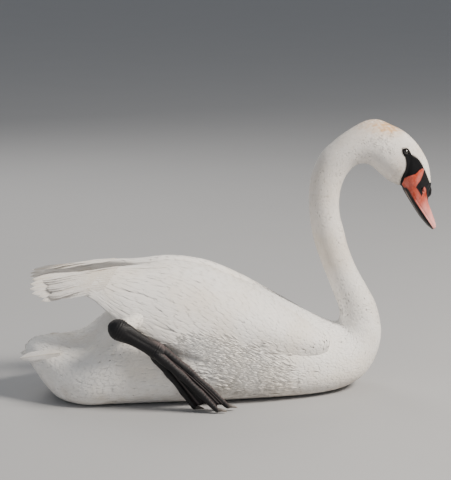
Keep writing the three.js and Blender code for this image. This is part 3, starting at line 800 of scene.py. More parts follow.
def stained(points: Array) -> Array:
    """The rusty wash of the head and neck, 0..1: soft ovals in side view, broken up by ripples, and a warm
    tint up the neck that is partly cream plumage and partly painted warm bounce light.
    """
    x, y, z = points[..., 0], points[..., 1], points[..., 2]

    def oval(middle_x: float, middle_z: float, wide: float, high: float) -> Array:
        """A soft spot: e^-(((x - middle_x) / wide)^2 + ((z - middle_z) / high)^2)."""
        return np.exp(-(((x - middle_x) / wide) ** 2) - ((z - middle_z) / high) ** 2)

    crown = oval(322, 466, 26, 13)
    nape = 0.45 * oval(282, 472, 30, 14)
    cheek = 0.2 * oval(335, 395, 16, 24)
    face = 0.5 * oval(372, 425, 16, 16)
    # partly cream plumage, partly painted warm bounce light: warmer higher up the neck
    neck = 0.1 * eased(z, 150, 240) * (x > 150)
    broken = 0.75 + 0.35 * ripple(x, y, z, 9.0, 5)
    return np.clip((1.2 * crown + nape + cheek + 0.4 * face) * broken + neck, 0, 1)


def soiled(points: Array) -> Array:
    """Dust on the lowest plumage, 0..1, thinning out upwards."""
    x, y, z = points[..., 0], points[..., 1], points[..., 2]
    low = 1 - eased(z + 9 * ripple(x, y, z, 60, 3), 4, 52)
    return np.clip(low * (0.6 + 0.4 * ripple(x, y, z, 22, 4)), 0, 1)


def face_depth(points: Array) -> Array:
    """How deep a place lies in the bare face, by side view; the forehead's white ends in a point."""
    x, z = points[..., 0], points[..., 2]
    aside = points[..., 1] + HEAD_TURN * (x - TURN_PIVOT_X)
    return edge_depth(x, z + 8 * bell(aside, 0, 5.5) * eased(x, 376, 386), FACE)


def bare_skin(points: Array) -> Array:
    """The black bare skin before the eyes, 0..1 with a soft edge."""
    return eased(face_depth(points), -0.5, 0.6)


def under_wing(points: Array) -> Array:
    """True where a place of the trunk is hidden inside a folded wing."""
    x, z = points[..., 0], points[..., 2]
    dist = np.abs(points[..., 1])
    number = np.interp(-x, -WING_STATIONS[:, 0], np.arange(len(WING_STATIONS)))
    read = catmull(WING_STATIONS, number)
    upper, lower = read[..., 1:3], read[..., 3:5]
    line = lower - upper
    span = np.linalg.norm(line, axis=-1)
    chord = line / span[..., None]
    off = np.stack([dist, z], -1) - upper
    share = (off * chord).sum(-1) / span
    away = off[..., 0] * -chord[..., 1] + off[..., 1] * chord[..., 0]
    swell = np.sin(np.pi * np.clip(share, 0, 1))
    outer = read[..., 5] * swell**0.75
    inner = outer - read[..., 6] * swell**0.6
    within = (share > 0.1) & (share < 0.94) & (away < outer - 6) & (away > inner + 2)
    return within & (x < 200) & (x > -222)


# ---- finishes


class Tree:
    """A hand for wiring one material's nodes."""

    def __init__(self, name: str) -> None:
        """Starts a material with its main shader."""
        self.material = bpy.data.materials.new(name)
        self.material.use_nodes = True
        self.nodes = self.material.node_tree.nodes
        self.links = self.material.node_tree.links
        self.shader = next(n for n in self.nodes if n.type == "BSDF_PRINCIPLED")
        self.place = self.add("ShaderNodeTexCoord").outputs["Object"]

    def add(self, kind: str, **settings: Any) -> bpy.types.Node:
        """A new node with these settings."""
        node = self.nodes.new(kind)
        for key, value in settings.items():
            setattr(node, key, value)
        return node

    def put(self, socket: Socket, value: Any) -> None:
        """Feeds a socket with another socket, or sets it to a plain value."""
        if isinstance(value, Socket):
            self.links.new(value, socket)
        elif isinstance(value, tuple) and len(value) == 3 and socket.type == "RGBA":
            socket.default_value = (*value, 1.0)
        else:
            socket.default_value = value

    def number(self, operation: str, a: Any, b: Any = 0.0) -> Socket:
        """A sum, product or other operation of two numbers."""
        node = self.add("ShaderNodeMath", operation=operation)
        self.put(node.inputs[0], a)
        self.put(node.inputs[1], b)
        return node.outputs[0]

    def times(self, a: Any, b: Any) -> Socket:
        """The product of two numbers."""
        return self.number("MULTIPLY", a, b)

    def blend(self, share: Any, a: Any, b: Any) -> Socket:
        """A colour between two others."""
        node = self.add("ShaderNodeMix", data_type="RGBA")
        self.put(node.inputs[0], share)
        self.put(node.inputs[6], a)
        self.put(node.inputs[7], b)
        return node.outputs[2]

    def layered(self, colour: Any, *layers: tuple[Any, Any]) -> Any:
        """A colour with others laid over it in order, each by its share."""
        for share, over in layers:
            colour = self.blend(share, colour, over)
        return colour

    def span(self, value: Any, low: float, high: float, to_low: float = 0.0, to_high: float = 1.0) -> Socket:
        """A number moved from one span to another, eased and held at the ends."""
        node = self.add("ShaderNodeMapRange", interpolation_type="SMOOTHSTEP")
        for key, item in (("Value", value), ("From Min", low), ("From Max", high),
                          ("To Min", to_low), ("To Max", to_high)):
            self.put(node.inputs[key], item)
        return node.outputs[0]

    def pattern(self, kind: str, scale: float, stretch: Colour, **settings: Any) -> bpy.types.Node:
        """A texture over the object, scale in waves or cells per metre."""
        mapping = self.add("ShaderNodeMapping")
        self.put(mapping.inputs["Vector"], self.place)
        mapping.inputs["Scale"].default_value = stretch
        node = self.add(kind, **settings)
        self.put(node.inputs["Vector"], mapping.outputs[0])
        node.inputs["Scale"].default_value = scale
        return node

    def noise(self, scale: float, detail: float, stretch: Colour = (1.0, 1.0, 1.0)) -> Socket:
        """Cloudy noise over the object."""
        node = self.pattern("ShaderNodeTexNoise", scale, stretch)
        node.inputs["Detail"].default_value = detail
        node.inputs["Roughness"].default_value = 0.55
        return node.outputs["Fac"]

    def cells(self, scale: float) -> Socket:
        """Distance to the nearest cell's edge."""
        node = self.pattern("ShaderNodeTexVoronoi", scale, (1.0, 1.0, 1.0), feature="DISTANCE_TO_EDGE")
        return node.outputs["Distance"]

    def mark(self, name: str, kind: str = "Fac") -> Socket:
        """What the mesh keeps under a name: a number, or a vector where the kind says so."""
        return self.add("ShaderNodeAttribute", attribute_name=name).outputs[kind]

    def bump(self, height: Any, strength: float, distance: float, below: Any = None) -> Socket:
        """Relief from a height, over any relief below it."""
        node = self.add("ShaderNodeBump")
        node.inputs["Strength"].default_value = strength
        node.inputs["Distance"].default_value = distance
        self.put(node.inputs["Height"], height)
        if below is not None:
            self.put(node.inputs["Normal"], below)
        return node.outputs[0]

    def finish(self, colour: Any, rough: Any, normal: Any, **fixed: float) -> Material:
        """Feeds the main shader and sets its fixed values.

        Args:
            colour: base colour.
            rough: roughness.
            normal: relief.
            fixed: other inputs by name, with _ for a space.

        Returns:
            The material.
        """
        self.put(self.shader.inputs["Base Color"], colour)
        self.put(self.shader.inputs["Roughness"], rough)
        if normal is not None:
            self.put(self.shader.inputs["Normal"], normal)
        for key, value in fixed.items():
            self.shader.inputs[key.replace("_", " ")].default_value = value
        return self.material


@dataclass(frozen=True)
class Plumage:
    """White feathers: cream and dust by place, tone by feather, greyer towards each root (a downy base and
    painted shade under the overlapping feathers), barbs and a shaft along each vane.
    """

    name: str
    white: Colour = (0.93, 0.905, 0.87)
    cream: Colour = (0.86, 0.79, 0.69)
    grey: Colour = (0.70, 0.67, 0.63)
    # greyer feather base: partly the downy base, partly painted shade under overlapping feathers
    root: Colour = (0.55, 0.52, 0.48)
    quill: Colour = (0.74, 0.66, 0.52)
    rust: Colour = (0.68, 0.43, 0.23)
    dust: Colour = (0.50, 0.42, 0.33)
    black: Colour = (0.0045, 0.0045, 0.0055)
    barbs: float = 30.0  # barbs along a feather
    barb_relief: float = 0.12
    shaft: float = 0.0  # how plain the shaft is
    bare: bool = False
    sheen: float = 0.25

    def material(self) -> Material:
        """Builds the nodes."""
        tree = Tree(self.name)
        parts = tree.add("ShaderNodeSeparateXYZ")
        tree.put(parts.inputs[0], tree.mark("lie", "Vector"))
        across, along, tone = parts.outputs
        side = tree.number("ABSOLUTE", across)
        slant = tree.number("ADD", along, tree.times(side, -0.22))
        barb = tree.number("SINE", tree.times(slant, self.barbs * TAU))
        cloud = tree.noise(11, 4)
        fleck = tree.noise(160, 2)
        creamy = tree.times(tree.span(cloud, 0.4, 0.7), 0.7)
        creamy = tree.number("ADD", creamy, tree.times(tree.span(fleck, 0.5, 0.8), 0.22))
        colour = tree.layered(
            self.white, (creamy, self.cream), (tree.times(tone, 0.16), self.grey),
            # painted shade and downy base: greyer towards each feather's root, where the next feathers
            # overlap it
            (tree.span(along, 0.6, 0.05, 0.0, 0.2), self.root),
            (tree.span(side, 0.1, 0.02, 0.0, self.shaft), self.quill), (tree.mark("stain"), self.rust),
            (tree.times(tree.mark("soil"), 0.45), self.dust))
        if self.bare:
            colour = tree.blend(tree.mark("bare"), colour, self.black)
        normal = tree.bump(barb, self.barb_relief, 0.00015)
        normal = tree.bump(fleck, 0.15, 0.0004, normal)
        rough = tree.span(fleck, 0.3, 0.8, 0.62, 0.82)
        return tree.finish(colour, rough, normal, Sheen_Weight=self.sheen, Sheen_Roughness=0.5,
                           Specular_IOR_Level=self.sheen)


@dataclass(frozen=True)
class Horn:
    """The bill: orange with a painted highlight that pales it to pink towards the tip, black by its marks,
    worn and finely grooved.
    """

    name: str
    orange: Colour = (0.47, 0.042, 0.010)
    deep: Colour = (0.38, 0.035, 0.014)
    # painted highlight colour: the pink towards the tip, and the lower half's pale stripe
    highlight_pink: Colour = (0.84, 0.38, 0.35)
    worn: Colour = (0.85, 0.42, 0.30)
    black: Colour = (0.0055, 0.005, 0.006)
    dusk: Colour = (0.20, 0.11, 0.10)

    def material(self) -> Material:
        """Builds the nodes."""
        tree = Tree(self.name)
        cloud = tree.noise(90, 4)
        grain = tree.noise(700, 3, (1.0, 1.0, 0.35))
        colour = tree.layered(
            self.orange, (tree.times(tree.span(cloud, 0.35, 0.75), 0.35), self.deep),
            # the pale mark lays the painted highlight over the orange
            (tree.mark("pale"), self.highlight_pink), (tree.times(tree.span(grain, 0.45, 0.7), 0.16), self.worn),
            (tree.mark("dusk"), self.dusk), (tree.mark("black"), self.black))
        normal = tree.bump(grain, 0.25, 0.0005)
        normal = tree.bump(cloud, 0.3, 0.001, normal)
        rough = tree.span(grain, 0.3, 0.8, 0.34, 0.52)
        return tree.finish(colour, rough, normal, Specular_IOR_Level=0.35)


@dataclass(frozen=True)
class Leather:
    """Scaly leg skin and bare black skin: a net of small plates, lighter and drier on the high places, with a
    painted highlight along the ridge mark.
    """

    name: str
    dark: Colour = (0.004, 0.0037, 0.0047)
    dry: Colour = (0.017, 0.014, 0.0165)
    plates: float = 850.0  # plates in a metre
    relief: float = 0.00025
    dryness: float = 0.4
    # painted highlight colour, laid on where the ridge mark is
    painted_highlight: Colour = (0.19, 0.142, 0.14)
    rough_low: float = 0.42
    rough_high: float = 0.62
    specular: float = 0.32

    def material(self) -> Material:
        """Builds the nodes."""
        tree = Tree(self.name)
        net = tree.cells(self.plates)
        edge = tree.span(net, 0.0, 0.3)
        cloud = tree.noise(60, 4)
        fine = tree.noise(900, 2)
        worn = tree.times(tree.span(cloud, 0.38, 0.7), self.dryness)
        worn = tree.times(worn, edge)
        # painted highlight along the ridge mark: tops of shank and toes, crests of the web's folds
        colour = tree.layered(self.dark, (worn, self.dry), (tree.times(tree.mark("ridge"), 0.8), self.painted_highlight))
        normal = tree.bump(edge, 0.4, self.relief)
        normal = tree.bump(fine, 0.2, 0.0003, normal)
        rough = tree.span(fine, 0.3, 0.75, self.rough_low, self.rough_high)
        return tree.finish(colour, rough, normal, Specular_IOR_Level=self.specular)


@dataclass(frozen=True)
class Claw:
    """Claw horn: dark grey-brown, lengthwise grooves, paler towards the tip."""

    name: str
    dark: Colour = (0.045, 0.037, 0.033)
    pale: Colour = (0.21, 0.17, 0.14)
    streak: Colour = (0.12, 0.10, 0.09)

    def material(self) -> Material:
        """Builds the nodes."""
        tree = Tree(self.name)
        groove = tree.noise(900, 3, (0.2, 1.0, 1.0))
        streaks = tree.times(tree.span(groove, 0.4, 0.7), 0.4)
        colour = tree.layered(self.dark, (tree.mark("pale"), self.pale), (streaks, self.streak))
        normal = tree.bump(groove, 0.3, 0.0003)
        return tree.finish(colour, tree.span(groove, 0.3, 0.8, 0.3, 0.5), normal, Specular_IOR_Level=0.5)


@dataclass(frozen=True)
class Eye:
    """A dark brown eye: black pupil, fine spokes in the iris, a darker rim, all under clear gloss."""

    name: str
    iris: Colour = (0.009, 0.005, 0.0035)
    spoke: Colour = (0.020, 0.010, 0.006)
    black: Colour = (0.003, 0.003, 0.003)

    def material(self) -> Material:
        """Builds the nodes; the mark out is 0 at the pupil's middle and 1 at the iris's edge."""
        tree = Tree(self.name)
        out, spokes = tree.mark("out"), tree.noise(1500, 2)
        colour = tree.layered(
            self.iris, (tree.span(spokes, 0.4, 0.7), self.spoke), (tree.span(out, 0.8, 1.0), self.black),
            (tree.span(out, 0.46, 0.4), self.black))
        rough = tree.span(spokes, 0.2, 0.8, 0.05, 0.09)
        return tree.finish(colour, rough, None, Coat_Weight=1.0, Coat_Roughness=0.03, Specular_IOR_Level=0.6)


@dataclass(frozen=True)
class Floor:
    """The plain floor: one pale grey with the faintest mottle."""

    grey: Colour = (0.42, 0.42, 0.425)

    def material(self) -> Material:
        """Builds the nodes."""
        tree = Tree("floor_paint")
        cloud = tree.noise(3, 3)
        darker = tuple(value * 0.96 for value in self.grey)
        return tree.finish(tree.blend(cloud, self.grey, darker), 0.85, None, Specular_IOR_Level=0.2)


# ---- skin


def ring_solid(centres: Array, outs: Array, ups: Array, radii: Array, around: int) -> Solid:
    """A closed ring of round sections.

    Formula: centre + radius (out cos(angle) + up sin(angle)), rows and sections both closing.
    """
    angle = turns(around)
    turn = outs[:, None] * np.cos(angle)[None, :, None] + ups[:, None] * np.sin(angle)[None, :, None]
    rings = centres[:, None] + turn * radii[:, None, None]
    index = np.arange(rings[..., 0].size).reshape(rings.shape[:2])
    down, after = np.roll(index, -1, 0), np.roll(index, -1, 1)
    quads = np.stack([index, after, np.roll(down, -1, 1), down], -1).reshape(-1, 4)
    return Solid(rings.reshape(-1, 3), quads).outward()


def eye_frame(side: int) -> tuple[Array, Array, Array, Array]:
    """An eye's place on the head: the surface point and the outward, forward and upward directions."""
    angle, turn = side * EYE_ANGLE, side * 0.1
    at = BODY.point(EYE_NUMBER, angle)
    ahead = unit(BODY.point(EYE_NUMBER + 0.3, angle) - BODY.point(EYE_NUMBER - 0.3, angle))
    round_ = unit(BODY.point(EYE_NUMBER, angle - turn) - BODY.point(EYE_NUMBER, angle + turn))
    out = unit(np.cross(ahead, round_))
    out = out * np.sign(out[1] * side)
    out = unit(out + np.array([0.12, 0, 0.0]))
    forward = unit(ahead - out * (ahead @ out))
    up = unit(np.cross(out, forward))
    return at, out, forward, up * np.sign(up[2])


@dataclass
class Skin:
    """The skin of body, neck, head, wings and thighs, closed under the coat, and the eyes' lids."""

    depth: Callable = by_number(
        (0, 3), (2, 3.4), (13, 3.2), (17, 1.7), (27, 1.5), (29, 1.3), (33, 1.1), (36, 1.1))
    around: int = 160
    lid_length: float = 5.9
    lid_height: float = 5.0
    lid_radius: float = 1.0

    def body(self) -> Solid:
        """Body, neck and head: the true form drawn in by the coat's depth, level on the bare parts."""
        spans = ((0.02, 14, 64), (14.1, 27.5, 90), (27.57, LAST_STATION, 130))
        numbers = np.concatenate([np.linspace(*span) for span in spans])
        number, angle = lattice(numbers, turns(self.around))
        true = BODY.point(number, angle)
        depth = self.depth(number)
        bare = bare_skin(true) * (number > HEAD_STATION)
        inner = eased(face_depth(true), 1, 9) * (number > HEAD_STATION)
        grow = -depth * (1 - bare) - 0.9 * inner * np.abs(np.sin(angle)) ** 2
        horn = eased(edge_depth(true[..., 0], true[..., 2], BILL_AREA), 0, 3) * (number > 31)
        grow = grow - 1.6 * horn
        for side in (RIGHT, LEFT):
            at = eye_frame(side)[0]
            away = np.linalg.norm(true - at, axis=-1)
            grow = grow + 0.6 * bell(away, 6.8, 1.8) - 1.2 * bell(away, 0, 4.6)
        return closed_tube(BODY.point(number, angle, grow))

    def lids(self, side: int) -> Solid:
        """The lids: an almond ring round the eye, thicker above, pointed before and behind."""
        at, out, forward, up = eye_frame(side)
        turn = turns(48)
        along, rise = np.cos(turn), np.sin(turn)
        reach = self.lid_length * along * (1 + 0.10 * np.abs(along) ** 3)
        high = self.lid_height * rise * (1 - 0.12 * along**2)
        sphere = np.sqrt(np.clip(EYE_RADIUS**2 - (reach * 0.8) ** 2 - (high * 0.8) ** 2, 1, None)) - EYE_SUNK
        lifted = np.clip(sphere, 0.1, 1.6) * 0.5
        centre = at + forward * reach[:, None] + up * high[:, None] + out * lifted[:, None]
        outs = unit(forward * along[:, None] + up * rise[:, None])
        radii = self.lid_radius * (1 + 0.2 * rise)
        return ring_solid(centre, outs, np.broadcast_to(out, outs.shape), radii, 12)

    def wing(self, side: int) -> Solid:
        """A folded wing's flesh, drawn in under its coverts."""
        numbers = np.linspace(0.15, 9.9, 56)
        number, angle = lattice(numbers, np.linspace(0, 2, 56, endpoint=False))
        return closed_tube(WINGS[side].point(number, angle, -2.2))

    def build(self, limbs: list[Solid]) -> bpy.types.Object:
        """Fuses the parts into one closed skin and puts the face's relief and markings on it."""
        parts = [self.body(), self.wing(RIGHT), self.wing(LEFT), *limbs]
        solid = fused(parts)
        lids = joined([self.lids(RIGHT), self.lids(LEFT)])
        solid = joined([solid, lids])
        points = solid.points
        bare = bare_skin(points) * (points[:, 0] > FACE_FROM) * (points[:, 2] > FACE_FROM)
        bare = np.concatenate([bare[: len(points) - len(lids.points)], np.ones(len(lids.points))])
        solid = solid.marked(
            stain=stained(points), soil=soiled(points), bare=bare,
            lie=np.stack([np.ones(len(points)), np.full(len(points), 0.8), np.full(len(points), 0.5)], -1))
        nodes = [f"{name}_{side}" for side in SIDES for name in ("wing", "thigh")]
        flesh = ["trunk", "neck_base", "neck_middle", "neck_upper", "head"]
        finish = Plumage("skin_and_down", bare=True, sheen=0.1).material()
        return mesh_piece("skin", solid, finish, "plumage", *flesh, *nodes)


def fused(parts: list[Solid]) -> Solid:
    """One closed solid of several that overlap, joined by Blender's boolean union."""
    made = []
    for count, part in enumerate(parts):
        mesh = bpy.data.meshes.new(f"part_{count}")
        mesh.from_pydata((part.points * MM).tolist(), [], part.quads.tolist() + part.triangles.tolist())
        mesh.update()
        made.append(placed(mesh.name, mesh))
    first = made[0]
    for item in made[1:]:
        union = first.modifiers.new("union", "BOOLEAN")
        union.operation = "UNION"
        union.solver = "EXACT"
        union.object = item
    shape = bpy.data.meshes.new_from_object(first.evaluated_get(bpy.context.evaluated_depsgraph_get()))
    shape.calc_loop_triangles()
    triangles = np.zeros(len(shape.loop_triangles) * 3, np.int32)
    shape.loop_triangles.foreach_get("vertices", triangles)
    points = np.zeros(len(shape.vertices) * 3, np.float32)
    shape.vertices.foreach_get("co", points)
    for item in made:
        bpy.data.objects.remove(item)
    for mesh in [m for m in bpy.data.meshes if m.users == 0]:
        bpy.data.meshes.remove(mesh)
    return Solid(points.reshape(-1, 3).astype(float) / MM, triangles=triangles.reshape(-1, 3).astype(int))


# ---- coat


def coat_piece(name: str, solid: Solid, finish: Material, stain: Any) -> None:
    """Makes one piece of the coat, with its markings."""
    mesh_piece(name, solid.marked(stain=stain, soil=soiled(solid.points)), finish, "plumage")


@dataclass(frozen=True)
class CoatArea:
    """One joined mesh of the body's coat, between two station numbers."""

    name: str
    first: float
    last: float
    kind: FeatherKind
    seed: int


@dataclass
class BodyCoat:
    """The feathers of the trunk, neck and head, all pointing from the bill towards the tail."""

    length: Callable = by_number(
        (0, 20), (3, 26), (7, 28), (10, 24), (13, 18), (15, 13), (17, 10), (20, 8.5), (27, 7), (28.5, 5.6),
        (30.5, 4.4), (33, 3.4), (36, 2.6))
    width: Callable = by_number(
        (0, 8), (3, 9.5), (8, 10), (11, 8.6), (13, 6.6), (15, 4.4), (17, 2.6), (20, 2), (27, 1.75),
        (28.5, 1.5), (30.5, 1.25), (33, 1.05), (36, 0.95))
    depth: Callable = by_number(
        (0, 2.8), (2, 3.2), (13, 3), (17, 1.5), (27, 1.3), (29, 1.1), (33, 0.9), (36, 0.9))
    lift: Callable = by_number((0, 0.15), (14, 0.13), (17, 0.14), (27, 0.14), (36, 0.1))
    thick: Callable = by_number((0, 0.32), (14, 0.28), (17, 0.28), (27, 0.26), (36, 0.22))
    areas: tuple[CoatArea, ...] = (
        CoatArea("rump_coat", 0.0, 4.4, FeatherKind.SMALL, 11),
        CoatArea("loin_coat", 4.4, 7.0, FeatherKind.SMALL, 12),
        CoatArea("flank_coat", 7.0, 9.6, FeatherKind.SMALL, 19),
        CoatArea("breast_coat", 9.6, 12.0, FeatherKind.SMALL, 13),
        CoatArea("crop_coat", 12.0, 16.4, FeatherKind.SMALL, 20),
        CoatArea("neck_root_coat", 15.2, 18.6, FeatherKind.TUFT, 14),
        CoatArea("neck_coat", 18.6, 23.2, FeatherKind.TUFT, 15),
        CoatArea("nape_coat", 23.2, 27.6, FeatherKind.TUFT, 16),
        CoatArea("crown_coat", 27.6, 31.2, FeatherKind.TUFT, 17),
        CoatArea("face_coat", 31.2, 36.0, FeatherKind.TUFT, 18),
    )
    ruffs: tuple[tuple[float, float], ...] = (
        (296, 445), (308.5, 446), (319, 441), (323, 427), (326.5, 421.5), (310.6, 427), (327.7, 449.4),
        (300, 436))  # x and z of the small upright feathers behind the eye

    def sown(self, area: CoatArea, terrain: Terrain) -> tuple[Bed, Random]:
        """Roots and sizes of an area's feathers."""
        rng = np.random.default_rng(area.seed)
        small = area.kind is FeatherKind.TUFT
        pitch, side_pitch = (3.3, 1.85) if small else (4.4, 1.8)
        number, angle = terrain.spots(
            area.first, area.last, lambda n: self.length(n) / pitch,
            lambda n: self.width(n) / side_pitch, rng)
        root = BODY.point(number, angle)
        count = len(number)
        hidden = under_wing(root)
        hidden |= (number > HEAD_STATION) & (face_depth(root) > -0.25)
        for side in (RIGHT, LEFT):
            hidden |= np.linalg.norm(root - eye_frame(side)[0], axis=-1) < 6.6
        side = np.where(angle < math.pi, 1, -1)
        flank = bell(number, 8.5, 3.5) * np.abs(np.sin(angle))
        away = [np.hypot(root[:, 0] - x, root[:, 2] - z) for x, z in self.ruffs]
        ruff = bell(np.min(away, 0), 0, 3.2) * (number > 26)
        yaw = rng.normal(0, 1, count) * (np.where(number < 15, 0.08, 0.1) + 0.35 * ruff)
        yaw = yaw - side * 0.16 * flank * (number < 14)
        even = 1 + rng.uniform(-0.16, 0.16, count)
        lift = self.lift(number) * rng.uniform(0.2, 1.8, count)
        lift = lift + rng.uniform(0, 4, count) * (1 - eased(number, 0.9, 1.8))
        bed = Bed(
            number, angle, self.length(number) * even * (1 + 1.1 * ruff),
            self.width(number) * (1 + rng.uniform(-0.15, 0.15, count)), yaw,
            lift + ruff * rng.uniform(0.3, 1.8, count), self.depth(number), self.thick(number),
            0.0 if small else 0.25, 0.0 if small else 0.15, rng.uniform(0, 1, count), 0.8 if small else 0.72)
        return bed.kept(~hidden), rng

    def build(self, finish: Material) -> None:
        """Lays every area's feathers and makes one piece of each."""
        terrain = Terrain(BODY, 0.0, LAST_STATION, TAU, -1)
        for area in self.areas:
            bed, rng = self.sown(area, terrain)
            solid = terrain.lay(area.kind, bed, rng)
            coat_piece(area.name, solid, finish, stained(solid.points))


@dataclass
class FlankTufts(Sided):
    """Ragged pointed feathers on one flank, over body and wing alike, leaning up towards the tail."""

    # x and z of the middle, spread along and up, how many, greatest length, width and lift
    patches: tuple[tuple[float, ...], ...] = (
        (0, 106, 24, 8, 700, 34, 3.8, 3), (84, 54, 30, 17, 1500, 34, 3.8, 3),
        (40, 82, 26, 14, 450, 32, 3.6, 2.6))
    lean: float = math.radians(21)
    step: float = 3.0  # of the hull's grid, which starts at start_x and z 0
    start_x: float = -210.0
    cells: tuple[int, int] = (160, 80)

    def hull(self) -> Array:
        """The outermost distance of body and wing from the middle, on a grid in side view."""
        side = self.side
        number, angle = lattice(np.linspace(3, 14, 500), np.linspace(0, math.pi, 300) * side)
        body = BODY.point(number, angle)
        number, share = lattice(np.linspace(0, 9, 500), np.linspace(0, 1, 200))
        places = np.concatenate([body.reshape(-1, 3), WINGS[side].point(number, share).reshape(-1, 3)])
        table = np.zeros(self.cells)
        column = np.clip(((places[:, 0] - self.start_x) / self.step).round().astype(int), 0, len(table) - 1)
        row = np.clip((places[:, 2] / self.step).round().astype(int), 0, table.shape[1] - 1)
        np.maximum.at(table, (column, row), np.abs(places[:, 1]))
        for _ in range(2):
            padded = np.pad(table, 1, mode="edge")
            beside = padded[:-2, 1:-1] + padded[2:, 1:-1] + padded[1:-1, :-2] + padded[1:-1, 2:]
            table = (beside + 2 * table) / 6
        return table

    def build(self, finish: Material) -> None:
        """Lays the tufts.

        Formula: root + length u along the lean + half width v across it in side view, at the hull's
        distance + lift u^1.5 - 1.5 (1 - u)^2.
        """
        side = self.side
        rng = np.random.default_rng(41 + (side > 0))
        table = self.hull()
        vane = PATTERNS[FeatherKind.TUFT]
        made = []
        for x, z, wide, high, count, *sizes in self.patches:
            away = rng.normal(0, 1, (2, count))
            places = [x + wide * away[0] - 0.3 * high * away[1], z + high * away[1]]
            made.append(np.stack(places + [np.full(count, size) for size in sizes]))
        x, z, length, width, lift = (row[np.concatenate(made, 1)[1] > 6] for row in np.concatenate(made, 1))
        count = len(x)
        lean = self.lean * eased(z, -10, 60) + rng.normal(0, 0.16, count)
        length, width = length * rng.uniform(0.45, 1, count), width * rng.uniform(0.5, 1, count)
        lift = lift * rng.uniform(0.1, 1, count)
        u, v = vane.along[None], vane.across[None]
        cos, sin = np.cos(lean)[:, None], np.sin(lean)[:, None]
        ahead, aside = length[:, None] * u, width[:, None] / 2 * v
        px = x[:, None] - ahead * cos + aside * sin
        pz = z[:, None] + ahead * sin + aside * cos
        column = np.clip((px - self.start_x) / self.step, 0, len(table) - 1.01)
        row = np.clip(pz / self.step, 0, table.shape[1] - 1.01)
        i, j = column.astype(int), row.astype(int)
        s, t = column - i, row - j
        near = table[i, j] * (1 - s) * (1 - t) + table[i + 1, j] * s * (1 - t)
        far = table[i, j + 1] * (1 - s) * t + table[i + 1, j + 1] * s * t
        out = near + far + lift[:, None] * u**1.5 - 1.5 * (1 - u) ** 2 + 0.7 * vane.through[None]
        points = np.stack([px, side * out, np.maximum(pz, 0.6)], -1)
        lie = np.stack(np.broadcast_arrays(v, u, rng.uniform(0, 1.6, count)[:, None]), -1)
        slope_x, slope_z = (slope[i, j] for slope in np.gradient(table, self.step))
        facing = 0.45 * unit(np.stack([-slope_x, np.full(px.shape, side), -slope_z], -1))
        number = np.interp(x, BODY_STATIONS[3:15, 0], np.arange(3, 15)) / LAST_STATION
        round_ = np.arctan2(side * 120.0, z - 70) / TAU % 1.0
        place = np.stack([round_, number], -1)
        solid = flock(vane, points, lie, facing, bake_patches(place, lie))
        coat_piece(f"flank_tufts_{self.side_name}", solid, finish, 0.0)


@dataclass
class WingCoat(Sided):
    """A folded wing's coverts, from small ones at the wrist to long ones over the flight feathers."""

    length: Callable = by_number((0, 9), (1, 12), (3, 20), (4, 28), (5, 36), (7, 54), (8.5, 58), (10, 48))
    width: Callable = by_number((0, 6), (1, 7), (3, 8.5), (5, 10), (7, 11), (10, 11))

    def build(self, finish: Material) -> None:
        """Lays the shoulder's and the rear's coverts as two pieces."""
        side = self.side
        terrain = Terrain(WINGS[side], 0.0, 10.0, 2.0, 1)
        plans = (("shoulder", 0.05, 4.0, FeatherKind.SMALL, 31), ("coverts", 4.0, 8.3, FeatherKind.LARGE, 33))
        for label, first, last, kind, seed in plans:
            rng = np.random.default_rng(seed + (side > 0))
            number, angle = terrain.spots(
                first, last, lambda n: self.length(n) / 3.8, lambda n: self.width(n) / 1.8, rng)
            count = len(number)
            length = self.length(number) * (1 + rng.uniform(-0.12, 0.12, count))
            length = np.minimum(length, terrain.room(number, angle) - rng.uniform(6, 16, count))
            seen = ((angle < 1.02) | (angle > 1.88) | (number > 7.2)) & (length > np.where(number < 3, 5, 12))
            bed = Bed(
                number, angle, length, self.width(number) * (1 + rng.uniform(-0.1, 0.1, count)),
                rng.normal(0, 0.06, count) - 0.06, rng.uniform(0.05, 0.4, count),
                2.5, 0.33, 0.2, 0.4, rng.uniform(0, 1, count), 0.85).kept(seen)
            coat_piece(f"wing_{label}_{self.side_name}", terrain.lay(kind, bed, rng), finish, 0.03)


# ---- long feathers


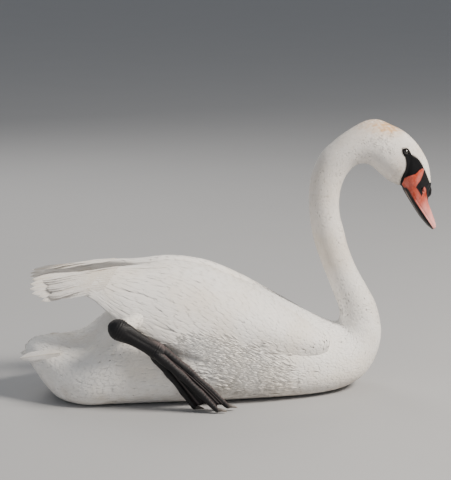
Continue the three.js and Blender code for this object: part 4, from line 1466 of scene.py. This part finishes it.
@dataclass
class Quills:
    """Long stiff feathers, each a cambered vane with a raised shaft between its root and its tip."""

    roots: Array
    tips: Array
    across: Array
    half: Array
    thick: float = 1.0
    camber: float = 1.6
    bow: float = 2.0
    pointed: float = 0.3
    rows: int = 30
    columns: tuple[float, ...] = (-1, -0.78, -0.55, -0.3, -0.08, 0, 0.08, 0.3, 0.55, 0.78, 1)

    def solid(self, rng: Random) -> Solid:
        """All the feathers.

        Formula: centre line from root to tip plus bow sin(pi u); half width times a rounded or
        pointed tip and a narrow root; dropped by camber v^2; shaft raised near v = 0.
        """
        made = []
        u, v = lattice(np.linspace(0, 1, self.rows) ** 0.85, self.columns)
        for root, tip, wide, half in zip(self.roots, self.tips, self.across, self.half):
            way = unit(tip - root)
            wide = unit(wide - way * (wide @ way))
            face = unit(np.cross(way, wide))
            face = face * (np.sign(face[2]) or 1.0)
            end = np.clip((u - 0.72) / 0.28, 0, 1)
            round_tip = np.sqrt(np.clip(1 - end**2, 0, 1)).clip(0.08)
            sharp_tip = np.clip(1 - end**1.5, 0.05, 1)
            shape = round_tip * (1 - self.pointed) + sharp_tip * self.pointed
            width = half * shape * (0.45 + 0.55 * eased(u, 0, 0.25))
            phase = rng.uniform(0, TAU, 4)
            torn = 0.015 * np.sin(37 * u + phase[0]) + 0.012 * np.sin(71 * u + phase[1])
            torn = torn + 0.02 * np.maximum(0, np.sin(19 * u + phase[2])) ** 12
            width = width * (1 + torn * np.abs(v) ** 4)
            side = v * np.where(v < 0, 0.8, 1.0)
            height = self.bow * np.sin(np.pi * u) - self.camber * v**2
            height = height + 0.25 * np.sin(23 * u + phase[3]) * v**2
            shaft = 0.7 * bell(v, 0, 0.07) * (1 - 0.7 * u)
            core = root + (tip - root) * u[..., None] + wide * (side * width)[..., None]
            depth = (self.thick / 2) * (1 - np.abs(v)) * (1 - 0.5 * u) + 0.12
            top = core + face * (height + shaft + depth)[..., None]
            under = core + face * (height - depth)[..., None]
            part = pillow(top, under)
            flat = np.stack([v, u, np.full(u.shape, rng.uniform())], -1)
            lie = np.concatenate([flat.reshape(-1, 3), flat[1:-1, 1:-1].reshape(-1, 3)])
            made.append(part.marked(lie=lie))
        solid = joined(made)
        count = len(made)
        size = len(solid.points) // count
        place = (np.arange(count) + 0.5) / count
        local = solid.marks["lie"].reshape(count, size, 3)
        patch = np.stack([place[:, None] + local[..., 0] * 0.4 / count, 0.05 + 0.9 * local[..., 1]], -1)
        # stain 0.07: a faint warm tint, partly cream plumage and partly painted warm bounce light
        return replace(solid, patch=patch.reshape(-1, 2)).marked(stain=0.07, soil=0.0)


# x, distance from the middle, z of the root and the tip, half width
PRIMARIES = np.array([
    [-195, 44, 220, -301, 40, 214, 10], [-195, 47, 217, -305, 46, 207, 10],
    [-195, 50, 214, -306, 52, 200, 10], [-195, 50, 212, -302, 57, 193, 10],
    [-195, 52, 212, -291, 62, 188, 9], [-195, 54, 212, -286, 67, 182, 9],
], float)


@dataclass
class WingQuills(Sided):
    """The secondaries, laid on the wing and running on past its end, and the primaries beyond them."""

    lean: tuple[float, float] = (0.62, -0.78)  # the way across a long feather, outwards and down
    secondaries: int = 11

    def secondary(self, layer: int, rng: Random) -> Quills:
        """One layer of secondaries: roots on the wing's outer face, tips on the line past its end."""
        side = self.side
        wing = WINGS[side]
        share = np.linspace(0.05, 0.93, self.secondaries) + 0.03 * layer
        number = 7.8 + 0.6 * layer + 0.7 * share
        place = 0.66 * share
        roots = wing.point(number, place, 0.4)
        across = wing.point(number, place + 0.04) - wing.point(number, place - 0.04)
        reach = -266 + 6 * share - 18 * layer * (1 - 0.5 * share) + rng.uniform(-5, 5, len(share))
        beside = side * (42 + 27 * share + 2.5 * np.sin(np.pi * share))
        tips = np.stack([reach, beside, 214.5 - 28.5 * share**1.15], -1)
        return Quills(roots, tips, across, 10 - 2.5 * share, bow=2.6, pointed=0.75, camber=0.9, thick=0.8)

    def build(self, finish: Material) -> None:
        """Makes the secondaries and the primaries."""
        side = self.side
        rng = np.random.default_rng(51 + (side > 0))
        layers = joined([self.secondary(layer, rng).solid(rng) for layer in (0, 1)])
        mesh_piece(f"secondaries_{self.side_name}", layers, finish, "flight_feathers")
        flip = np.array([1, side, 1])
        across = np.broadcast_to(np.array([0, side * self.lean[0], self.lean[1]]), (len(PRIMARIES), 3))
        roots, tips, half = PRIMARIES[:, :3] * flip, PRIMARIES[:, 3:6] * flip, PRIMARIES[:, 6] * 1.05
        quills = Quills(roots, tips, across, half, bow=1.5, pointed=0.7, camber=1.2)
        mesh_piece(f"primaries_{self.side_name}_vanes", quills.solid(rng), finish, "flight_feathers",
                   f"primaries_{self.side_name}")


@dataclass
class Tail:
    """A short fan of tail feathers, the middle ones on top, and one low outer feather on each side."""

    feathers: int = 9
    length: float = 90.0
    outer_share: float = 0.9
    fan: float = math.radians(14)
    drop: float = math.radians(10)
    arch: float = 0.05
    half: float = 14.0

    def build(self, finish: Material) -> None:
        """Makes the fan."""
        out = np.linspace(-1, 1, self.feathers)
        length = self.length * (1 + (self.outer_share - 1) * np.abs(out))
        order = -2.2 * np.abs(out)
        roots = np.stack([np.full(self.feathers, -236.0), 10 * out, 90.0 + order], -1)
        reach = length * math.cos(self.drop)
        tips = roots + np.stack([
            -reach * np.cos(self.fan * out), reach * np.sin(self.fan * out),
            -length * math.sin(self.drop) - length * self.arch * out**2 - order], -1)
        across = np.stack([0 * out, 1 + 0 * out, -0.5 * out], -1)
        outer = np.array([[-256, -70, 90, -325.5, -44, 76], [-256, 70, 90, -314, 44, 76]], float)
        roots, tips = np.concatenate([roots, outer[:, :3]]), np.concatenate([tips, outer[:, 3:]])
        across = np.concatenate([across, [[0.1, 0.55, 1], [0.1, -0.55, 1]]])
        half = np.append(np.full(self.feathers, self.half), [9.0, 9.0])
        quills = Quills(roots, tips, across, half, thick=1.4, camber=2.0, bow=2.0, pointed=0.55)
        mesh_piece("tail_fan", quills.solid(np.random.default_rng(61)), finish, "flight_feathers", "tail")


# ---- bill, knob and eyes

MOUTH_WAY = (MOUTH_END - GAPE) / np.linalg.norm(MOUTH_END - GAPE)
TO_RIDGE = np.array([-MOUTH_WAY[1], MOUTH_WAY[0]])
BILL_LOFT = SectionLoft(np.concatenate([BODY_STATIONS[FACE_STATION:], BILL_STATIONS]))


def above_mouth(points: Array) -> Array:
    """Height over the mouth plane, towards the ridge."""
    return (points[..., 0] - GAPE[0]) * TO_RIDGE[0] + (points[..., 2] - GAPE[1]) * TO_RIDGE[1]


@dataclass
class Bill:
    """Both halves of the bill, with the nostrils and the nail in the upper one."""

    rows: int = 250
    outer: int = 150
    inner: int = 24
    nostril: tuple[float, float] = (377.4, 356.2)
    nostril_long: float = 5.4
    nostril_wide: float = 2.3
    nostril_tilt: float = math.radians(-62)

    def mouth_angle(self, numbers: Array, offset: float) -> Array:
        """Where each section crosses the mouth plane: the first angle from the ridge that lies below it."""
        angles = np.linspace(0, math.pi, 721)
        height = above_mouth(BILL_LOFT.point(numbers[:, None], angles[None])) - offset
        below = height < 0
        first = np.where(below.any(1), below.argmax(1), len(angles) - 1).clip(1)
        row = np.arange(len(numbers))
        high, low = height[row, first - 1], height[row, first]
        share = np.clip(high / np.where(np.abs(high - low) < 1e-9, 1e-9, high - low), 0, 1)
        return angles[first - 1] + share * (angles[1] - angles[0])

    def shell(self, numbers: Array, angle: Array, grow: Callable[[Array, Array, Array], Array],
              vault: float) -> tuple[Array, Array, Array]:
        """One half of the bill as rings: its outer face, then back across the mouth on a vault.

        Args:
            numbers: the rings' station numbers.
            angle: one row of angles for each number, along the outer face.
            grow: outward relief from number, angle and place.
            vault: how far the inner face bends towards the ridge, against its width.

        Returns:
            The rings, and the number and angle of each place.
        """
        number = np.broadcast_to(numbers[:, None], angle.shape)
        true = BILL_LOFT.point(number, angle)
        face = BILL_LOFT.point(number, angle, grow(number, angle, true))
        t = np.linspace(0, 1, self.inner + 2)[1:-1]
        first, last = face[:, -1:], face[:, :1]
        back = first + (last - first) * t[None, :, None]
        span = np.linalg.norm(last - first, axis=-1) * vault
        lift = (span * np.sin(np.pi * t)[None])[..., None] * np.array([TO_RIDGE[0], 0, TO_RIDGE[1]])
        rings = np.concatenate([face, back + lift], 1)
        all_numbers = np.repeat(numbers[:, None], rings.shape[1], 1)
        fill = np.full((len(numbers), self.inner), math.pi)
        return rings, all_numbers, np.concatenate([angle, fill], 1)

    def relief(self, number: Array, angle: Array, true: Array) -> Array:
        """The upper half's outward relief: the raised base edge, the nostrils, a groove above the
        cutting edge, the nail's swelling and soft wear."""
        x, z = true[..., 0], true[..., 2]
        depth = edge_depth(x, z, BILL_AREA)
        rise, fade = 2.75 * eased(depth, -1.0, 1.4), 0.55 * eased(number, 4.5, 6.5)
        base = np.where(number < 4.5, -2.2 + rise, 0.55 - fade)
        dx, dz = x - self.nostril[0], z - self.nostril[1]
        cos, sin = math.cos(self.nostril_tilt), math.sin(self.nostril_tilt)
        along, aside = dx * cos + dz * sin, -dx * sin + dz * cos
        hole = np.hypot(along / self.nostril_long, aside / self.nostril_wide)
        nostril = -2.6 * (1 - eased(hole, 0.45, 1.0)) + 0.55 * bell(hole, 1.35, 0.3)
        height = above_mouth(true)
        groove = -0.5 * bell(height, 4.2, 1.1) * eased(number, 4.5, 6) * (1 - eased(number, 10, 11.3))
        lip = 0.45 * bell(height, 0, 1.3) * (number > 4.2)
        nail = 0.5 * bell(number, 11.25, 0.42) * (1 - eased(np.abs(np.sin(angle)), 0.5, 1))
        wear = 0.16 * ripple(x, true[..., 1], z, 8, 71)
        return base + nostril + groove + lip + nail + wear

    def upper(self) -> Solid:
        """The upper half, with its colours' marks."""
        numbers = np.concatenate([np.linspace(0.4, 4.6, 140), np.linspace(4.63, 11.97, self.rows - 140)])
        reach = self.mouth_angle(numbers, 0.18)
        angle = reach[:, None] * np.linspace(-1, 1, self.outer)[None]
        rings, number, turn = self.shell(numbers, angle, self.relief, 0.16)
        x, z = rings[..., 0], rings[..., 2]
        height = above_mouth(rings)
        patch = eased(edge_depth(x, z, NOSTRIL_PATCH), -0.7, 0.8)
        edge = (1 - eased(height, 0.9, 2.0)) * eased(number, 3.5, 5)
        edge = edge + (1 - eased(height, 2.2, 4.2)) * bell(number, 4.4, 1.2)
        inside = (turn >= math.pi - 1e-6) * 1.0
        rim = 1 - eased(edge_depth(x, z, BILL_AREA), 0.3, 1.3)
        black = np.clip(np.maximum.reduce([patch, edge, inside * 0.7, rim * (number < 4.5)]), 0, 1)
        cloud = 0.12 * ripple(x, rings[..., 1], z, 14, 72)
        # painted highlight: the bill grows paler pink towards the tip
        pale = np.clip(0.12 + 0.9 * eased(number, 5.2, 10.5) + cloud, 0, 1)
        return closed_tube(rings, {"black": black, "pale": pale, "dusk": 0.55 * eased(number, 11.35, 11.8)})

    def lower(self) -> Solid:
        """The lower half: a shallow trough just inside the upper one's edges."""
        numbers = np.concatenate([np.linspace(2.2, 4.6, 30), np.linspace(4.63, 11.8, 90)])
        start = self.mouth_angle(numbers, -0.22)
        span = TAU - 2 * start
        angle = start[:, None] + span[:, None] * np.linspace(0, 1, self.outer)[None]

        def narrowed(number: Array, turn: Array, true: Array) -> Array:
            """Drawn in at the cutting edge, with a long groove on each side of the chin."""
            height = above_mouth(true)
            tuck = -0.9 * bell(height, 0, 2.0) - 1.6 * (1 - eased(number, 2.6, 4.4))
            chin = -0.8 * bell(np.abs(np.sin(turn)), 0.35, 0.16) * (np.cos(turn) < 0)
            return tuck + chin * eased(number, 4.4, 5.4) * (1 - eased(number, 9.5, 11))

        rings, number, turn = self.shell(numbers, angle, narrowed, 0.05)
        # painted highlight: a pale stripe along each side of the lower half, below the cutting edge
        edge = bell(np.abs(np.sin(turn)), 0.45, 0.09) * (np.cos(turn) < 0)
        pale = edge * eased(number, 4.0, 5.5) * (1 - 0.4 * eased(number, 10, 11.5))
        marks = {"black": 1 - 0.9 * pale, "pale": np.ones_like(number), "dusk": np.full_like(number, 0.1)}
        return closed_tube(rings, marks)

    def build(self) -> None:
        """Makes both halves."""
        # the lower half's pink is the colour of its painted highlight stripe
        upper, lower = Horn("bill_horn"), Horn("bill_lower_edge", highlight_pink=(0.50, 0.39, 0.33))
        mesh_piece("bill_upper_horn", self.upper(), upper.material(), "bill_orange", "bill_upper")
        mesh_piece("bill_lower_horn", self.lower(), lower.material(), "bill_black", "bill_lower")


@dataclass
class Knob:
    """The black knob over the bill's base: a swollen egg with soft folds."""

    centre: tuple[float, float] = (387.5, 351.5)
    radii: Place = (10.1, 9.0, 12.9)

    def build(self) -> None:
        """Makes the knob.

        Formula: an ellipsoid whose radius swells by 3 percent of a ripple, turned with the head.
        """
        polar, turn = lattice(np.linspace(0.04, math.pi - 0.04, 40), turns(56))
        ball = np.stack([np.sin(polar) * np.cos(turn), np.sin(polar) * np.sin(turn), np.cos(polar)], -1)
        swell = 1 + 0.03 * ripple(*(ball * 12).transpose(2, 0, 1), 9.0, 75)
        place = ball * np.array(self.radii) * swell[..., None]
        place = turned(place + np.array([self.centre[0], 0, self.centre[1]]))
        solid = closed_tube(place, {"ridge": np.zeros(turn.shape)})
        finish = Leather("knob_skin", dark=(0.0055, 0.005, 0.006), dry=(0.014, 0.013, 0.014), plates=1100,
                         relief=0.0001, dryness=0.4, rough_low=0.36, rough_high=0.5, specular=0.25)
        mesh_piece("knob_flesh", solid, finish.material(), "bill_black", "knob")


@dataclass
class Eyeball(Sided):
    """An eye: a ball with a slightly swollen clear front over a brown iris."""

    iris: float = math.radians(52)

    def build(self, finish: Material) -> None:
        """Makes the ball, turned outwards.

        Formula: radius 6.5 and up to 0.25 more at the front, sunk behind the head's surface.
        """
        at, out, forward, up = eye_frame(self.side)
        polar, turn = lattice(np.linspace(0.02, math.pi - 0.02, 48), turns(48))
        radius = EYE_RADIUS + 0.25 * bell(polar, 0, 0.55)
        local = np.stack([np.cos(polar), np.sin(polar) * np.cos(turn), np.sin(polar) * np.sin(turn)], -1)
        place = at - out * EYE_SUNK + (local * radius[..., None]) @ np.stack([out, forward, up])
        solid = closed_tube(place, {"out": np.clip(polar / self.iris, 0, 1)})
        mesh_piece(f"eyeball_{self.side_name}", solid, finish, "eye", f"eye_{self.side_name}")


# ---- legs


@dataclass(frozen=True)
class LegPlan:
    """Where one leg's joints lie: x, distance from the middle, z."""

    thigh: Place
    heel: Place
    ball: Place
    toes: tuple[tuple[Place, Place], ...]


LEGS = {
    "right": LegPlan((-104, 96, 162), (-157.5, 136, 145), (-92, 147, 107),
                     (((-6, -7, -9), (-31, 137, 6)), ((5, -1, 4), (24, 145, 9)), ((0, 7, -5), (5, 156, 6)))),
    "left": LegPlan((-96, 100, 52), (-146, 122, 20), (-62, 131, 16),
                    (((0, -8, 0), (50, 108, 6)), ((6, 0, 1), (88, 140, 6)), ((0, 8, 0), (62, 170, 6)))),
}
TARSUS_SHARES = np.array([-0.26, -0.2, -0.1, 0, 0.12, 0.25, 0.4, 0.55, 0.7, 0.82, 0.92, 1, 1.1, 1.16])
TARSUS_ACROSS = np.array([3, 10, 15.5, 17, 15.5, 12.5, 10.6, 10.2, 10.6, 11.6, 12.6, 13, 10, 3])
TARSUS_UP = np.array([3, 11, 16.5, 18.4, 17.2, 15, 13.2, 12.4, 12.6, 13.4, 14, 14, 10.5, 3])
TOE_SHARES = np.array([-0.1, -0.04, 0.04, 0.16, 0.27, 0.36, 0.45, 0.55, 0.64, 0.72, 0.82, 0.92, 1, 1.03])
TOE_ACROSS = np.array([2, 7, 9, 7.6, 7, 7.8, 6.8, 5.8, 6, 6.4, 5.4, 5, 3.9, 1.2])
TOE_UP = np.array([2, 7, 8.6, 7.8, 7, 7.8, 6.8, 5.8, 6, 6.6, 5.4, 4.9, 3.9, 1.2])


def scuted(period: float, depth: float) -> Callable[[Array, Array], Array]:
    """Cross plates on a toe's upper side: a narrow groove at every period, fading down the sides."""

    def relief(number: Array, angle: Array) -> Array:
        """Outward relief at a number and angle."""
        wave = np.abs(np.sin(np.pi * number / period + 0.35 * np.cos(angle)))
        groove = bell(wave, 0, 0.28)
        return -depth * groove * eased(np.sin(angle), -0.1, 0.5)

    return relief


@dataclass
class Leg(Sided):
    """A leg: scaly shank, three plated toes with webs between, a small hind toe and the claws."""

    def spot(self, place: Iterable[float]) -> Array:
        """A place on this side of the bird."""
        x, out, z = place
        return np.array([x, self.side * out, z], float)

    @property
    def plan(self) -> LegPlan:
        """The joints."""
        return LEGS[self.side_name]

    def thigh(self) -> Solid:
        """The feathered thigh's flesh, from inside the flank to the heel."""
        start, end = self.spot(self.plan.thigh), self.spot(self.plan.heel)
        share = np.array([-0.2, 0, 0.35, 0.7, 0.86, 0.92])
        radius = np.interp(share, [-0.2, 0, 0.9, 0.92], [4, 12, 10.5, 3])
        knots = np.column_stack([along_line(start, end, share), radius, radius])
        return self.tube(TubeLoft(knots), 24, 24)

    def thigh_coat(self, finish: Material) -> None:
        """Soft loose feathers on the thigh, pointing to the heel."""
        start, end = self.spot(self.plan.thigh), self.spot(self.plan.heel)
        share = np.array([-0.3, 0, 0.3, 0.6, 0.8, 0.98])
        radius = np.interp(share, [-0.3, 0, 0.98], [14, 15, 13.5])
        loft = TubeLoft(np.column_stack([along_line(start, end, share), radius, radius]))
        terrain = Terrain(loft, 0.0, 5.0, TAU, 1)
        rng = np.random.default_rng(91 + self.side)
        number, angle = terrain.spots(0.3, 4.7, lambda n: 4.6, lambda n: 4.0, rng)
        count = len(number)
        length = np.minimum(rng.uniform(17, 25, count), terrain.room(number, angle) + 7)
        loose = 0.3 + 2.4 * eased(number, 2.6, 4.4)
        bed = Bed(number, angle, length, rng.uniform(7, 10, count), rng.normal(0, 0.16, count),
                  rng.uniform(0.2, 1, count) * loose, 3.0, 0.3, 0.2, 0.55, rng.uniform(0, 0.6, count), 0.75)
        solid = terrain.lay(FeatherKind.SMALL, bed, rng)
        coat_piece(f"thigh_coat_{self.side_name}", solid, finish, 0.02)

    def tube(self, loft: TubeLoft, rows: int, around: int, marks: Callable | None = None) -> Solid:
        """A closed tube over a whole loft, its rows crowded at the ends."""
        last = len(loft.knots) - 1
        numbers = np.linspace(0, last, rows)
        number, angle = lattice(numbers, turns(around))
        values = marks(number, angle) if marks else {"ridge": np.zeros(number.shape)}
        return closed_tube(loft.point(number, angle), values)

    def shank(self) -> Solid:
        """The tarsus, with tendon ridges on its upper and under sides and wrinkles at both joints."""
        heel, ball = self.spot(self.plan.heel), self.spot(self.plan.ball)
        knots = np.column_stack([along_line(heel, ball, TARSUS_SHARES), TARSUS_ACROSS, TARSUS_UP])

        def relief(number: Array, angle: Array) -> Array:
            """Tendons, wrinkles and small folds."""
            share = np.interp(number, np.arange(len(TARSUS_SHARES)), TARSUS_SHARES)
            shaft = eased(share, 0.08, 0.25) * (1 - eased(share, 1.0, 1.1))
            tendon = 1.3 * bell(np.sin(angle), 0.93, 0.14) * shaft
            hollow = -1.0 * bell(np.sin(angle), 0.35, 0.22) * shaft
            folds = np.sin(share * 95 + 1.2 * np.cos(angle) + np.sin(share * 21))
            joints = bell(share, 0, 0.14) + bell(share, 0.97, 0.1)
            return tendon + hollow + 0.42 * folds * joints * (0.5 + 0.5 * np.sin(angle * 2 + 1) ** 2)

        def marks(number: Array, angle: Array) -> dict[str, Array]:
            """Painted highlight: paler along the shank's top, towards the foot."""
            share = np.interp(number, np.arange(len(TARSUS_SHARES)), TARSUS_SHARES)
            return {"ridge": 0.7 * bell(np.sin(angle), 0.93, 0.16) * eased(share, 0.55, 1.0)}

        return self.tube(TubeLoft(knots, relief), 170, 56, marks)

    def hind_toe(self) -> Solid:
        """The small raised hind toe."""
        heel, ball = self.spot(self.plan.heel), self.spot(self.plan.ball)
        root = heel + (ball - heel) * 0.78
        way = unit(ball - heel)
        hang = np.array([way[2], 0, -way[0]])
        hang = hang * (1 if hang[2] < 0 else -1) + way * 0.9
        hang = unit(hang - np.array([0, self.side * 0.5, 0]))
        tip = root + hang * 18
        tip[2] = max(tip[2], 3.6)
        share = np.array([0, 0.3, 0.6, 0.85, 1.0, 1.06])
        radius = np.array([4.2, 3.9, 3.3, 2.5, 1.4, 0.5])
        knots = np.column_stack([along_line(root, tip, share), radius, radius])
        return self.tube(TubeLoft(knots, scuted(0.45, 0.3)), 40, 18)

    def toe_line(self, digit: int, share: Array) -> Array:
        """A toe's middle line: straight from root to tip, arched by 3 sin(pi share)."""
        root, tip = self.plan.toes[digit]
        start = self.spot(self.plan.ball) + self.spot(root)
        line = start + (self.spot(tip) - start) * share[..., None]
        line[..., 2] += 3 * np.sin(np.pi * np.clip(share, 0, 1))
        return line

    def toe(self, digit: int) -> Solid:
        """One plated toe."""
        knots = np.column_stack([self.toe_line(digit, TOE_SHARES), TOE_ACROSS, TOE_UP])
        knots[:, 2] = np.maximum(knots[:, 2], knots[:, 4] + 0.3)

        def marks(number: Array, angle: Array) -> dict[str, Array]:
            """Painted highlight: the toe's top is paler."""
            return {"ridge": 0.5 * eased(np.sin(angle), 0.6, 0.98)}

        return self.tube(TubeLoft(knots, scuted(0.42, 0.55)), 200, 30, marks)

    def web(self, digit: int) -> Solid:
        """The web from one toe to the next, folded lengthwise.

        Formula: straight across between the toes' lines, standing out by (5 - digit) sin(pi u)^0.5
        that fades towards root and tip, with pleats of 1.3 sin(7 pi u); the free edge is scalloped.

        Args:
            digit: the toe it starts from, counted from the inner one.

        Returns:
            The web, closed and thin.
        """
        across, share = lattice(np.linspace(0, 1, 41), np.linspace(0, 1, 34))
        reach = 0.985 - 0.05 * np.sin(np.pi * across)
        t = 0.03 + (reach - 0.03) * share
        first, second = self.toe_line(digit, t), self.toe_line(digit + 1, t)
        one = self.toe_line(digit, np.array(1.0)) - self.toe_line(digit, np.array(0.0))
        two = self.toe_line(digit + 1, np.array(1.0)) - self.toe_line(digit + 1, np.array(0.0))
        away = unit(np.cross(one, two))
        away = away * np.sign(away @ np.array([0.0, -0.6 * self.side, -0.8]))
        sag = -(5 - digit) * np.sin(np.pi * across) ** 0.5 * eased(t, 0, 0.25) * (1 - 0.6 * eased(t, 0.7, 1))
        pleat = np.sin(7 * np.pi * across) * eased(t, 0.02, 0.4)
        sag = sag + 1.3 * pleat
        sag = sag + 0.35 * ripple(first[..., 0], first[..., 1] + 40 * across, first[..., 2], 16, 81)
        sheet = first + (second - first) * across[..., None] + away * sag[..., None]
        thick = 0.8
        top, under = sheet - away * thick, sheet + away * thick
        top[..., 2], under[..., 2] = np.maximum(top[..., 2], 1.8), np.maximum(under[..., 2], 0.4)
        # painted highlight on the crests of the web's folds
        ridge = 0.3 * np.clip(-pleat, 0, 1) ** 3
        return replace(pillow(top, under), marks={"ridge": np.append(ridge, ridge[1:-1, 1:-1])})

    def claws(self) -> Solid:
        """The three claws: tapering, slightly drooping cones."""
        made = []
        for digit in range(3):
            start = self.toe_line(digit, np.array(1.0))
            way = start - self.toe_line(digit, np.array(0.9))
            way[2] = 0
            way = unit(way)
            tip = start + way * 17
            tip[2] = max(start[2] - 3, 1.2)
            share = np.array([-0.25, -0.05, 0.2, 0.45, 0.7, 0.88, 1.0])
            line = along_line(start, tip, share)
            line[:, 2] += 1.2 * np.sin(np.pi * np.clip(share, 0, 1))
            across = np.array([1.5, 3.4, 3.5, 3.0, 2.2, 1.3, 0.35])
            rise = np.array([1.5, 3.2, 3.2, 2.7, 1.9, 1.1, 0.3])
            line[:, 2] = np.maximum(line[:, 2], rise + 0.3)
            loft = TubeLoft(np.column_stack([line, across, rise]))
            made.append(self.tube(loft, 36, 20, lambda number, angle: {"pale": eased(number, 2, 6)}))
        return joined(made)

    def build(self, leather: Material, horn: Material, coat: Material) -> None:
        """Makes the thigh's feathers, the shank, the foot and the claws."""
        name = self.side_name
        self.thigh_coat(coat)
        shank = joined([self.shank(), self.hind_toe()])
        mesh_piece(f"shank_{name}", shank, leather, "leg_skin", f"tarsus_{name}")
        foot = joined([*(self.toe(digit) for digit in range(3)), *(self.web(digit) for digit in range(2))])
        mesh_piece(f"webbed_foot_{name}", foot, leather, "leg_skin", f"foot_{name}")
        nodes = [f"claw_{name}_{digit}" for digit in (2, 3, 4)]
        mesh_piece(f"claws_{name}", self.claws(), horn, "claw", *nodes)


# ---- studio


@dataclass
class Studio:
    """The floor, the soft lights and the camera."""

    target: Place = (0.036, 0.0, 0.268)
    azimuth: float = math.radians(-6)
    elevation: float = math.radians(11)
    distance: float = 3.0
    lens: float = 128.57
    sensor: float = 36.0

    def floor(self) -> None:
        """A wide round floor at height 0."""
        turn = turns(96)
        rim = np.stack([30 * np.cos(turn), 30 * np.sin(turn), 0 * turn], -1)
        mesh = bpy.data.meshes.new("floor")
        mesh.from_pydata(rim.tolist(), [], [tuple(range(len(rim)))])
        mesh.materials.append(Floor().material())
        piece = placed("floor", mesh)

    def light(self, name: str, place: Place, size: float, power: float, colour: Colour) -> None:
        """A square soft light that looks at the target."""
        lamp = bpy.data.lights.new(name, "AREA")
        lamp.size, lamp.energy, lamp.color = size, power, colour
        item = placed(name, lamp)
        item.location = place
        item.rotation_euler = (Vector(self.target) - Vector(place)).to_track_quat("-Z", "Y").to_euler()

    def sky(self) -> None:
        """An even pale room light."""
        world = bpy.data.worlds.new("room")
        bpy.context.scene.world = world
        world.use_nodes = True
        back = world.node_tree.nodes["Background"]
        back.inputs["Color"].default_value = (0.80, 0.84, 0.90, 1.0)
        back.inputs["Strength"].default_value = 0.35

    def camera(self) -> None:
        """The camera at its angle, distance and lens."""
        lens = bpy.data.cameras.new("camera")
        lens.lens, lens.sensor_width, lens.sensor_fit = self.lens, self.sensor, "AUTO"
        lens.clip_end = 100
        a, e = self.azimuth, self.elevation
        back = Vector((math.sin(a) * math.cos(e), -math.cos(a) * math.cos(e), math.sin(e)))
        item = placed("camera", lens)
        item.location = Vector(self.target) + back * self.distance
        item.rotation_euler = (-back).to_track_quat("-Z", "Y").to_euler()
        bpy.context.scene.camera = item

    def build(self) -> None:
        """Sets everything up."""
        self.floor()
        self.sky()
        self.light("key", (2.3, -1.5, 2.6), 1.0, 235.0, (1.0, 0.935, 0.845))
        self.light("fill", (-2.2, -2.2, 1.3), 2.2, 10.0, (0.88, 0.93, 1.0))
        self.light("back", (-0.8, 2.4, 2.0), 1.6, 32.0, (1.0, 0.97, 0.93))
        self.camera()


def main() -> None:
    """Builds every part in order."""
    logging.basicConfig(level=logging.INFO, format="%(message)s")
    Studio().build()
    legs = {name: Leg(name) for name in SIDES}
    Skin().build([leg.thigh() for leg in legs.values()])
    coat = Plumage("coat_feathers").material()
    flight = Plumage("long_feathers", barbs=150.0, barb_relief=0.35, shaft=0.8).material()
    BodyCoat().build(coat)
    leather = Leather("leg_leather").material()
    horn = Claw("claw_horn").material()
    gloss = Eye("eye_gloss").material()
    for name in SIDES:
        WingCoat(name).build(coat)
        FlankTufts(name).build(coat)
        WingQuills(name).build(flight)
        legs[name].build(leather, horn, coat)
        Eyeball(name).build(gloss)
    Tail().build(flight)
    Bill().build()
    Knob().build()


if __name__ == "__main__":
    main()
